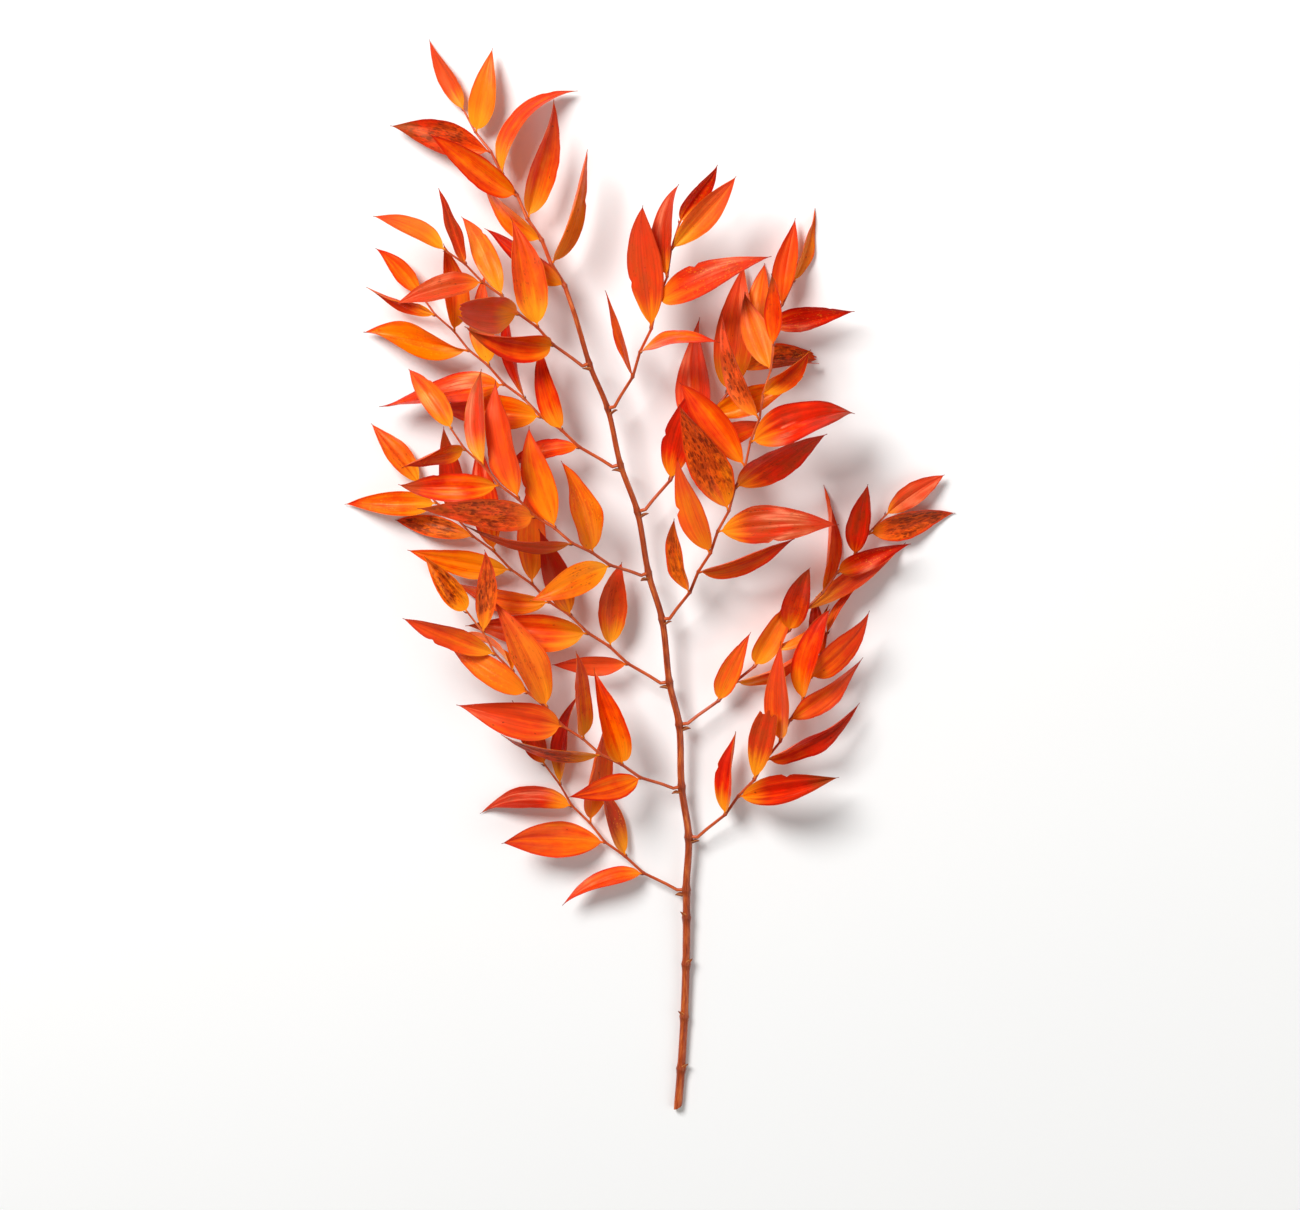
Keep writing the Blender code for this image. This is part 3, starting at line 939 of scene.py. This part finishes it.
class Look:
    """A material while its nodes are added."""

    def __init__(self, name):
        old = bpy.data.materials.get(name)
        if old:
            bpy.data.materials.remove(old)
        self.material = bpy.data.materials.new(name)
        self.material.use_nodes = True
        self.tree = self.material.node_tree
        self.shader = self.tree.nodes["Principled BSDF"]

    def node(self, kind, settings=None, sockets=None, output=0):
        """Adds a node: first its settings, then the values or links of its sockets."""
        made = self.tree.nodes.new(kind)
        for key, value in (settings or {}).items():
            if key == "stops":
                self.set_stops(made.color_ramp.elements, value)
            else:
                setattr(made, key, value)
        for key, value in (sockets or {}).items():
            self.feed(made.inputs[key], value)
        return Wire(self, made.outputs[output])

    def set_stops(self, elements, stops):
        while len(elements) < len(stops):
            elements.new(1.0)
        for element, (place, colour) in zip(elements, stops):
            element.position = place
            element.color = (*colour, 1.0)

    def feed(self, socket, value):
        if isinstance(value, Wire):
            self.tree.links.new(value.socket, socket)
        elif socket.type == "RGBA":
            socket.default_value = (*value, 1.0)
        else:
            socket.default_value = value

    def finish(self, colour, roughness, bump, **constants):
        """Links what varies to the shader, sets what is the same all over, and gives the material."""
        self.feed(self.shader.inputs["Base Color"], colour)
        self.feed(self.shader.inputs["Roughness"], roughness)
        self.feed(self.shader.inputs["Normal"], bump)
        for key, value in constants.items():
            self.shader.inputs[key.replace("_", " ")].default_value = value
        return self.material

    def maths(self, operation, *values):
        return self.node("ShaderNodeMath", {"operation": operation}, dict(enumerate(values)))

    def clamped(self, value):
        return self.node("ShaderNodeClamp", None, {"Value": value})

    def parts(self, name):
        """The three numbers of a vector layer of the piece."""
        layer = self.node("ShaderNodeAttribute", {"attribute_name": name}, output="Vector")
        sockets = {"Vector": layer}
        return [self.node("ShaderNodeSeparateXYZ", None, sockets, output=axis) for axis in "XYZ"]

    def number(self, name):
        """A number layer of the piece."""
        return self.node("ShaderNodeAttribute", {"attribute_name": name}, output="Fac")

    def vector(self, x, y, z):
        return self.node("ShaderNodeCombineXYZ", None, {"X": x, "Y": y, "Z": z})

    def ramp(self, value, stops):
        return self.node("ShaderNodeValToRGB", {"stops": stops}, {"Fac": value})

    def rise(self, value, low, high):
        """0 below low, 1 above high and smooth between them; it falls where low is the greater."""
        sockets = {"Value": value, "From Min": low, "From Max": high}
        return self.node("ShaderNodeMapRange", {"interpolation_type": "SMOOTHSTEP"}, sockets)

    def mix(self, first, second, share):
        sockets = {0: share, 6: first, 7: second}
        return self.node("ShaderNodeMix", {"data_type": "RGBA"}, sockets, output=2)

    def shade(self, colour, value):
        """A colour made lighter or darker by a number."""
        sockets = {"Vector": colour, "Scale": value}
        return self.node("ShaderNodeVectorMath", {"operation": "SCALE"}, sockets)

    def clouds(self, place, detail=2.0, roughness=0.5, output="Fac"):
        """Soft noise at a place, which is three numbers or sockets."""
        sockets = {"Vector": self.vector(*place), "Scale": 1.0, "Detail": detail, "Roughness": roughness}
        return self.node("ShaderNodeTexNoise", None, sockets, output=output)

    def cells(self, place, output):
        sockets = {"Vector": place, "Scale": 1.0, "Randomness": 0.9}
        return self.node("ShaderNodeTexVoronoi", None, sockets, output=output)

    def dots(self, place, share, size):
        """Separate, uneven dots. About share of the cells bears one, and size is the radius of the
        biggest in its cell."""
        sockets = {0: self.vector(*place), 1: self.clouds(place, 2.0, 0.6, "Color")}
        bent = self.node("ShaderNodeVectorMath", {"operation": "ADD"}, sockets)
        drawn = {"Color": self.cells(bent, "Color")}
        chance = self.node("ShaderNodeSeparateColor", None, drawn)
        radius = self.node("ShaderNodeSeparateColor", None, drawn, output="Green")
        radius = (0.25 + 0.75 * radius) * size
        inside = self.rise(self.cells(bent, "Distance"), radius, radius * 0.6)
        return inside * self.rise(chance, share, share * 0.8)

    def bump(self, height, depth):
        return self.node("ShaderNodeBump", None, {"Height": height, "Distance": depth})


def leaf_look(looks):
    """Dyed leathery leaf: gold at its root, orange to red along it and pinkish towards its tip,
    with lengthwise nerves, spots and flecks, a thin red margin, on the goldest leaves a painted golden rim
    highlight instead, and a dark tail."""
    look = Look("dyed_leaf")
    u, v, under = look.parts("blade")
    across, along, number = look.parts("grain")
    red, dull, gold = look.parts("dye")
    spots, flecks, brown = look.parts("wear")
    rim = look.number("rim")

    streaks = look.clouds((u * 3.6, v, number), 3.0, 0.55)
    threads = look.clouds((u * 15.0, v * 1.7, number), 3.0, 0.65)
    patches = look.clouds((across * 0.11, along * 0.06, number), 4.0, 0.6)
    broken = look.clouds((u * 5.0, v * 4.0, number + 30.0), 2.0)
    nerves = look.maths("SINE", u * (math.pi * looks.nerves / 2) + 1.3 * (streaks - 0.5))
    nerves = look.rise(abs(nerves), 0.32, 0.0) * look.rise(v, 0.0, 0.12)
    nerves = nerves * look.rise(broken, 0.30, 0.62)

    grains = look.clouds((across * 2.8, along * 2.8, number), 1.0)
    edge = look.rise(rim + 2.4 * (patches - 0.5), 2.2, 0.1)

    tone = red + streaks + patches - 1.0 + 0.30 * (v - 0.45) + 0.28 * edge
    stops = [
        (0.0, looks.golden_orange),
        (0.32, looks.orange),
        (0.60, looks.orange_red),
        (1.0, looks.deep_red),
    ]
    colour = look.ramp(tone, stops)
    matt = look.clamped(dull * (0.2 + 1.1 * patches))
    colour = look.mix(colour, looks.coral, matt * 0.7)
    colour = look.mix(colour, looks.underside, under * 0.5)
    blush = look.rise(v + 0.5 * (streaks - 0.5), 0.50, 1.0) * (0.10 + 0.8 * dull)
    colour = look.mix(colour, looks.blush, look.clamped(blush))
    glow = look.rise(v + 0.30 * (streaks - 0.5) - 0.22 * gold, 0.18, -0.10)
    colour = look.mix(colour, looks.gold, glow * (0.3 + 0.7 * gold))
    colour = look.shade(colour, 0.73 + 0.54 * threads)
    colour = look.shade(colour, 1.0 - 0.20 * nerves)

    middle = look.rise(v, 0.08, 0.35) * look.rise(rim, 0.2, 1.8)
    veil = look.clamped(look.rise(patches + 0.5 * (streaks - 0.5), 0.40, 0.62) * spots * middle)
    colour = look.mix(colour, looks.veil, veil * 0.7)
    mottled = look.rise(spots, 0.5, 0.8)
    place = (across * 0.75, along * 0.34, number)
    crowd = look.rise(patches, 0.30, 0.60)
    dots = look.clamped(look.dots(place, 0.75, 0.46) * spots * (1.5 - 0.9 * mottled)) * middle * crowd
    broad = look.clouds((across * 0.36, along * 0.13, number + 70.0), 3.0, 0.65)
    broad = look.rise(broad, 0.40, 0.62) * mottled * middle
    rows = (across * 0.70, along * 0.22, number + 80.0)
    blotches = look.dots(rows, 1.0, 0.80) * mottled * middle * look.rise(patches, 0.34, 0.52)
    blotches = blotches * (1.0 - 0.8 * nerves) * (0.45 + 1.1 * grains)
    pale = look.clamped(nerves + look.rise(threads, 0.52, 0.72)) * mottled
    colour = look.mix(colour, looks.underside, pale * 0.5)
    colour = look.mix(colour, looks.mottle, broad * (0.45 + 0.5 * grains))
    colour = look.mix(colour, looks.spot, look.clamped(blotches) * 0.85)
    colour = look.mix(colour, looks.spot, dots * 0.85)
    specks = look.dots((across * 0.35, along * 0.18, number + 90.0), 0.16, 0.16)
    colour = look.mix(colour, looks.spot, specks * 0.7)
    far = (across * 1.1, along * 0.55, number + 50.0)
    light = look.dots(far, 0.75, 0.52) * flecks * middle * look.rise(patches, 0.35, 0.55)
    colour = look.mix(colour, looks.gold, look.clamped(light) * 0.7)

    dry = look.rise(v + 0.5 * (patches - 0.5) + 0.2 * (streaks - 0.5), 0.66, 0.92) * brown
    colour = look.mix(colour, looks.dry_tip, look.clamped(dry))
    # The margin line: the margin's own dark red on most leaves; on the goldest leaves it turns gold, a
    # painted rim highlight along the edge.
    line = look.rise(rim + 0.5 * threads, 0.62, 0.30) * look.rise(v, 0.06, 0.2)
    margin_and_painted_rim_highlight = look.mix(looks.margin, looks.gold, look.rise(gold, 0.70, 0.85))
    colour = look.mix(colour, margin_and_painted_rim_highlight, line * 0.5)
    colour = look.mix(colour, looks.tail, look.rise(v, 0.945, 0.99) * 0.8)
    colour = look.mix(colour, looks.root, look.rise(v, 0.04, 0.0) * 0.8)

    roughness = 0.33 + 0.14 * matt + 0.08 * under + 0.16 * (threads - 0.5) + 0.15 * dots + 0.2 * dry
    height = 0.36 * threads + (mottled * 0.7 - 0.34) * nerves + streaks - 0.3 * dots + 0.5 * patches
    height = height + grains * (0.12 + 0.3 * mottled)
    bump = look.bump(height, looks.relief)
    return look.finish(
        colour,
        roughness,
        bump,
        Subsurface_Weight=0.22,
        Subsurface_Radius=(1.0, 0.32, 0.10),
        Subsurface_Scale=0.0016,
        Specular_IOR_Level=0.5,
        Specular_Tint=(1.0, 0.55, 0.28, 1.0),
    )


def bark_look(name, looks, scale):
    """Dyed bark: furrowed lengthwise, darker at its nodes and bracts and pale where it is cut."""
    look = Look(name)
    across, over, along = look.parts("grain")
    node, cut, bract_share = look.parts("bark")
    fine = 2.6 / scale
    broad = 0.55 / scale
    furrows = look.clouds((across * fine, over * fine, along * 0.16), 3.0, 0.6)
    patches = look.clouds((across * broad, over * broad, along * 0.045), 3.0)
    tone = look.clamped(0.9 * furrows + 0.9 * patches - 0.42)
    stops = [(0.1, looks.dark), (0.5, looks.middle), (0.9, looks.light)]
    colour = look.ramp(tone, stops)
    colour = look.mix(colour, looks.dark, look.clamped(node * (0.9 * patches - 0.05)))
    warts = look.dots((across * 1.1, over * 1.1, along * 0.5), 0.3, 0.28)
    colour = look.mix(colour, looks.light, warts * 0.5)
    colour = look.mix(colour, looks.bract, bract_share * (0.75 + 0.25 * furrows))
    stains = look.clouds((across * 2.0, over * 2.0, along), 2.0)
    face = look.vector(across, over, 0.0)
    reach = look.node("ShaderNodeVectorMath", {"operation": "LENGTH"}, {0: face}, output=1)
    wood = look.mix(looks.cut, looks.light, look.rise(reach + 1.8 * (stains - 0.5), 1.8, 3.1))
    pores = look.dots((across * 3.2, over * 3.2, 0.0), 0.9, 0.34)
    wood = look.mix(wood, looks.dark, 0.45 * pores + 0.35 * look.rise(reach, 0.75, 0.35))
    colour = look.mix(colour, wood, look.rise(cut, 0.4, 0.7))
    roughness = 0.36 + 0.25 * (furrows - 0.5) + 0.35 * cut
    bump = look.bump(furrows + 0.5 * warts, looks.relief)
    return look.finish(colour, roughness, bump, IOR=1.45)


def scale_look(looks):
    """Dry, papery scale, streaked lengthwise."""
    look = Look("dry_scale")
    u, v, under = look.parts("blade")
    number = look.parts("grain")[2]
    rim = look.number("rim")
    streaks = look.clouds((u * 5.0, v * 1.2, number), 3.0)
    colour = look.ramp(streaks, [(0.3, looks.dark), (0.5, looks.middle), (0.8, looks.light)])
    colour = look.mix(colour, looks.light, look.rise(rim, 0.5, 0.0) * 0.6)
    colour = look.mix(colour, looks.dark, look.rise(v, 0.6, 1.0) * 0.8)
    bump = look.bump(streaks, looks.relief)
    return look.finish(colour, 0.5 + 0.2 * streaks + 0.1 * under, bump, IOR=1.45)


def linear(code):
    """A colour's six hexadecimal digits as the light values that a shader uses."""
    shares = [int(code[i : i + 2], 16) / 255 for i in (0, 2, 4)]
    return tuple(s / 12.92 if s <= 0.04045 else ((s + 0.055) / 1.055) ** 2.4 for s in shares)


def number_prop(name, description, default, least, most, **kind):
    return FloatProperty(
        name=name, description=description, default=default, min=least, max=most, **kind
    )


def size_prop(name, description, default, most=10.0):
    return number_prop(
        name, description, default, 0.0, most, precision=5, subtype="DISTANCE", unit="LENGTH"
    )


def count_prop(name, description, default, least, most):
    return IntProperty(name=name, description=description, default=default, min=least, max=most)


def colour_prop(name, description, code):
    colour = linear(code)
    return FloatVectorProperty(
        name=name, description=description, default=colour, min=0.0, max=1.0, size=3, subtype="COLOR"
    )


class CaneSettings(bpy.types.PropertyGroup):
    """Sizes and colours of the woody stem."""

    radius: size_prop("Foot radius", "The cane's radius at its cut end", STEM_RADIUS)
    top_radius: size_prop("Top radius", "The cane's radius where its last twig starts", STEM_TOP_RADIUS)
    node_swell: number_prop("Node swell", "How many times thicker a node is", NODE_SWELL, 1.0, 2.0)
    furrow_depth: number_prop(
        "Furrow depth", "Depth of the furrows as a share of the radius", 0.022, 0.0, 0.2, subtype="FACTOR"
    )
    sides: count_prop("Sides", "Faces round the cane", 32, 6, 64)
    relief: size_prop("Bark relief", "Depth of the bark's finest furrows", 0.00012)
    dark: colour_prop("Dark bark", "Furrows and nodes", "5E1A0A")
    middle: colour_prop("Bark", "The bark's own colour", "B04616")
    light: colour_prop("Light bark", "Worn ridges of the bark", "E4843E")
    bract: colour_prop("Scar", "The small scars under the scales", "6E2312")
    cut: colour_prop("Cut wood", "The pale wood of the cut end", "E3C08C")


class ScaleSettings(bpy.types.PropertyGroup):
    """Sizes and colours of the small dry scales on the cane."""

    columns: count_prop("Columns", "Faces across a scale", 8, 4, 20)
    rows: count_prop("Rows", "Faces along a scale", 12, 4, 30)
    breadth: number_prop("Breadth", "Breadth as a share of the length", 0.56, 0.2, 1.0)
    wrap: number_prop("Wrap", "How far the margins wrap the branch's foot", 0.75, 0.0, 2.0)
    arch: number_prop("Arch", "How far a scale bends along its length", 0.35, 0.01, 2.0)
    blade_thickness: size_prop("Thickness", "Thickness in the middle of a scale", 0.00028)
    margin_thickness: size_prop("Margin thickness", "Thickness at a scale's margins", 0.00010)
    stalk_thickness: size_prop("Root thickness", "Thickness where a scale is seated", 0.00050)
    tail_thickness: size_prop("Tip thickness", "Thickness at a scale's tip", 0.00012)
    pleat_depth: size_prop("Pleat depth", "Depth of the lengthwise pleats", 0.00022)
    crinkle_depth: size_prop("Crinkle depth", "Depth of the dried crinkles", 0.00035)
    relief: size_prop("Relief", "Depth of the finest nerves", 0.00010)
    dark: colour_prop("Dark tip", "The tip of a scale", "6A2410")
    middle: colour_prop("Scale", "The scale's own colour", "BA561E")
    light: colour_prop("Papery margin", "Pale streaks and margins", "E8A05C")


class TwigSettings(bpy.types.PropertyGroup):
    """Sizes and colours of the leafy twigs."""

    sides: count_prop("Sides", "Faces round a twig", 10, 5, 32)
    relief: size_prop("Bark relief", "Depth of the twigs' finest furrows", 0.00008)
    dark: colour_prop("Dark bark", "Furrows and joints", "84260C")
    middle: colour_prop("Bark", "The twigs' own colour", "C65020")
    light: colour_prop("Light bark", "Ridges of the twigs", "F09450")
    bract: colour_prop("Bract", "The tiny bracts at the joints", "7A1A0E")
    cut: colour_prop("Cut wood", "Wood where a twig is cut", "D9A86A")


class LeafSettings(bpy.types.PropertyGroup):
    """Sizes and dyes of the leaves."""

    columns: count_prop("Columns", "Faces across a leaf", 16, 4, 40)
    rows: count_prop("Rows", "Faces along a leaf", 44, 8, 120)
    blade_thickness: size_prop("Blade thickness", "Thickness of a leaf's blade", 0.00036)
    margin_thickness: size_prop("Margin thickness", "Thickness at a leaf's margins", 0.00018)
    stalk_thickness: size_prop("Stalk thickness", "Thickness at a leaf's root", 0.00105)
    tail_thickness: size_prop("Tail thickness", "Thickness at a leaf's tip", 0.00030)
    pleat_depth: size_prop("Pleat depth", "Depth of the shallow lengthwise pleats", 0.00042)
    crinkle_depth: size_prop("Crinkle depth", "Depth of the dried blade's crinkles", 0.00034)
    relief: size_prop("Nerve relief", "Depth of the finest nerves", 0.00020)
    nerves: number_prop("Nerves", "How many nerves run along a leaf", 11.0, 1.0, 30.0)
    golden_orange: colour_prop("Golden orange", "The palest dye", "FC7E00")
    orange: colour_prop("Orange", "The usual dye", "F55200")
    orange_red: colour_prop("Orange red", "The usual dye where it took well", "E01E00")
    deep_red: colour_prop("Deep red", "The darkest dye", "A20200")
    # Gold also paints a rim highlight along the margins of the goldest leaves.
    gold: colour_prop("Gold", "The glowing root of a leaf and its flecks", "FF9A16")
    coral: colour_prop("Coral", "Matt leaves", "F6692A")
    blush: colour_prop("Blush", "Towards a leaf's tip", "E23C20")
    underside: colour_prop("Underside", "A leaf's paler underside", "F86A12")
    veil: colour_prop("Brown veil", "Round the spots", "B4500E")
    mottle: colour_prop("Mottling", "Brown patches on some leaves", "8C2606")
    spot: colour_prop("Spots", "Dark spots between the nerves", "621404")
    dry_tip: colour_prop("Dry tip", "A browned tip", "8E3C0A")
    margin: colour_prop("Margin", "The thin line along the margins", "A81A02")
    tail: colour_prop("Tail", "The fine end of a leaf", "7A1004")
    root: colour_prop("Root", "The very root of a leaf", "B8480C")


class StageSettings(bpy.types.PropertyGroup):
    """The floor, the lights and the camera."""

    floor: colour_prop("Floor", "The plain pale floor", "FAFAF9")
    key_power: number_prop("Key light", "Power of the main soft light", 124.0, 0.0, 1000.0, unit="POWER")
    fill_power: number_prop(
        "Fill light", "Power of the opposite soft light", 10.0, 0.0, 1000.0, unit="POWER"
    )
    sky: number_prop("Sky", "Strength of the even light from all round", 0.22, 0.0, 10.0)
    tilt: number_prop(
        "Camera tilt",
        "How far the camera leans towards the stem's tip",
        math.radians(12),
        -math.pi / 2,
        math.pi / 2,
        subtype="ANGLE",
        unit="ROTATION",
    )
    distance: size_prop("Camera distance", "From the camera to the middle of the stem", 2.6)
    view_height: size_prop("View height", "How much of the stem's length the picture takes in", 0.80)


class RUSCUS_OT_cane(bpy.types.Operator):
    """Makes the woody stem with its nodes, furrows and cut end"""

    bl_idname = "ruscus.cane"
    bl_label = "Cane"

    def execute(self, context):
        looks = context.scene.ruscus_cane
        bark = bark_look("cane_bark", looks, CANE_GRAIN)
        place_piece("cane", cane(looks), bark, ["main_stem"])
        return {"FINISHED"}


class RUSCUS_OT_scales(bpy.types.Operator):
    """Makes the small dry scales under the branches and along the bare foot"""

    bl_idname = "ruscus.scales"
    bl_label = "Scales"

    def execute(self, context):
        looks = context.scene.ruscus_scale
        pieces = []
        for number, leaf in enumerate(stem_scales()):
            marks = draw_marks(FIRST_SCALE + number)
            marks.nick_depth = 0.0
            leaf.width = SCALE_LENGTH * looks.breadth
            leaf.fold = looks.wrap
            leaf.bend = looks.arch
            pieces.append(fine_leaf(leaf, marks, looks))
        place_piece("scales", merged(pieces), scale_look(looks), ["main_stem"])
        return {"FINISHED"}


class RUSCUS_OT_twigs(bpy.types.Operator):
    """Makes the zigzag twigs with their swollen joints and tiny bracts"""

    bl_idname = "ruscus.twigs"
    bl_label = "Twigs"

    def execute(self, context):
        looks = context.scene.ruscus_twig
        bark = bark_look("twig_bark", looks, TWIG_GRAIN)
        starts = [*(branch.at for branch in BRANCHES), STEM_LENGTH - TIP_SUNK]
        for number, (twig, start) in enumerate(zip(all_twigs(), starts)):
            bm = twig_mesh(twig, stem_point(start), looks.sides, number)
            place_piece(twig.name + "_twig", bm, bark, [twig.name])
        return {"FINISHED"}


class RUSCUS_OT_leaves(bpy.types.Operator):
    """Grows the leaves where the solids have them and gives each its fine form and its dye"""

    bl_idname = "ruscus.leaves"
    bl_label = "Leaves"

    def execute(self, context):
        looks = context.scene.ruscus_leaf
        dyed = leaf_look(looks)
        number = 0
        for twig, leaves in grow_plant():
            if not leaves:
                raise RuntimeError(f"{twig.name} grew no leaves")
            pieces = []
            for leaf in leaves:
                pieces.append(fine_leaf(leaf, draw_marks(number), looks))
                number += 1
            place_piece(twig.name + "_leaves", merged(pieces), dyed, [twig.name])
        return {"FINISHED"}


# The stage: half the floor's width, the lights' places and sizes, the sky and the picture

FLOOR_HALF = 6.0
KEY_PLACE = (-1.35, 1.9, 2.4)
KEY_SIZE = 1.4
FILL_PLACE = (1.5, -0.6, 1.5)
FILL_SIZE = 1.8
SKY_COLOUR = (1.0, 0.99, 0.975, 1.0)
PICTURE_SHAPE = 1300 / 1210


def stage_floor(colour):
    bm = bmesh.new()
    bmesh.ops.create_grid(bm, x_segments=1, y_segments=1, size=FLOOR_HALF)
    look = Look("pale_floor")
    place = look.node("ShaderNodeTexCoord", output="Object")
    tone = look.node("ShaderNodeTexNoise", None, {"Vector": place, "Scale": 3.0, "Detail": 2.0})
    shade = look.shade(colour, 0.99 + 0.02 * tone)
    floor = new_object("floor", mesh_of("floor", bm))
    floor.data.materials.append(look.finish(shade, 0.9 - 0.05 * tone, look.bump(tone, 0.0001)))


def soft_light(name, place, size, power, aim):
    lamp = bpy.data.lights.new(name, "AREA")
    lamp.shape = "DISK"
    lamp.size = size
    lamp.energy = power
    light = new_object(name, lamp)
    light.location = place
    light.rotation_euler = (aim - Vector(place)).to_track_quat("-Z", "Y").to_euler()


class RUSCUS_OT_stage(bpy.types.Operator):
    """Lays the plain floor and sets up the soft lights and the camera"""

    bl_idname = "ruscus.stage"
    bl_label = "Stage"

    def execute(self, context):
        looks = context.scene.ruscus_stage
        scene = context.scene
        stage_floor(looks.floor)
        low, high = SOLID_BOX
        aim = (Vector(low) + Vector(high)) / 2
        soft_light("key_light", KEY_PLACE, KEY_SIZE, looks.key_power, aim)
        soft_light("fill_light", FILL_PLACE, FILL_SIZE, looks.fill_power, aim)
        world = bpy.data.worlds.new("sky")
        world.use_nodes = True
        sky = world.node_tree.nodes["Background"]
        sky.inputs["Color"].default_value = SKY_COLOUR
        sky.inputs["Strength"].default_value = looks.sky
        scene.world = world
        scene.view_settings.view_transform = "Standard"
        lens = bpy.data.cameras.new("camera")
        lens.sensor_fit = "HORIZONTAL"
        lens.angle = 2 * math.atan(looks.view_height * PICTURE_SHAPE / 2 / looks.distance)
        camera = new_object("camera", lens)
        way = Vector((0, math.sin(looks.tilt), math.cos(looks.tilt)))
        camera.location = aim + way * looks.distance
        camera.rotation_euler = (-looks.tilt, 0, 0)
        scene.camera = camera
        return {"FINISHED"}


class VIEW3D_PT_ruscus(bpy.types.Panel):
    """The pieces of the stem and the stage, each with its button and its values."""

    bl_label = "Dried ruscus stem"
    bl_space_type = "VIEW_3D"
    bl_region_type = "UI"
    bl_category = "Ruscus"

    def draw(self, context):
        for operator, settings in zip(OPERATORS, SETTINGS):
            box = self.layout.box()
            box.operator(operator.bl_idname)
            group = getattr(context.scene, settings)
            for key in group.bl_rna.properties.keys():
                if key not in ("rna_type", "name"):
                    box.prop(group, key)


SETTINGS = {
    "ruscus_cane": CaneSettings,
    "ruscus_scale": ScaleSettings,
    "ruscus_twig": TwigSettings,
    "ruscus_leaf": LeafSettings,
    "ruscus_stage": StageSettings,
}
OPERATORS = (RUSCUS_OT_cane, RUSCUS_OT_scales, RUSCUS_OT_twigs, RUSCUS_OT_leaves, RUSCUS_OT_stage)


def register():
    for cls in (*SETTINGS.values(), *OPERATORS, VIEW3D_PT_ruscus):
        bpy.utils.register_class(cls)
    for name, cls in SETTINGS.items():
        setattr(bpy.types.Scene, name, PointerProperty(type=cls))


def unregister():
    for name in SETTINGS:
        delattr(bpy.types.Scene, name)
    for cls in reversed((*SETTINGS.values(), *OPERATORS, VIEW3D_PT_ruscus)):
        bpy.utils.unregister_class(cls)


def main():
    register()
    bpy.ops.ruscus.cane()
    bpy.ops.ruscus.scales()
    bpy.ops.ruscus.twigs()
    bpy.ops.ruscus.leaves()
    bpy.ops.ruscus.stage()


if __name__ == "__main__":
    main()
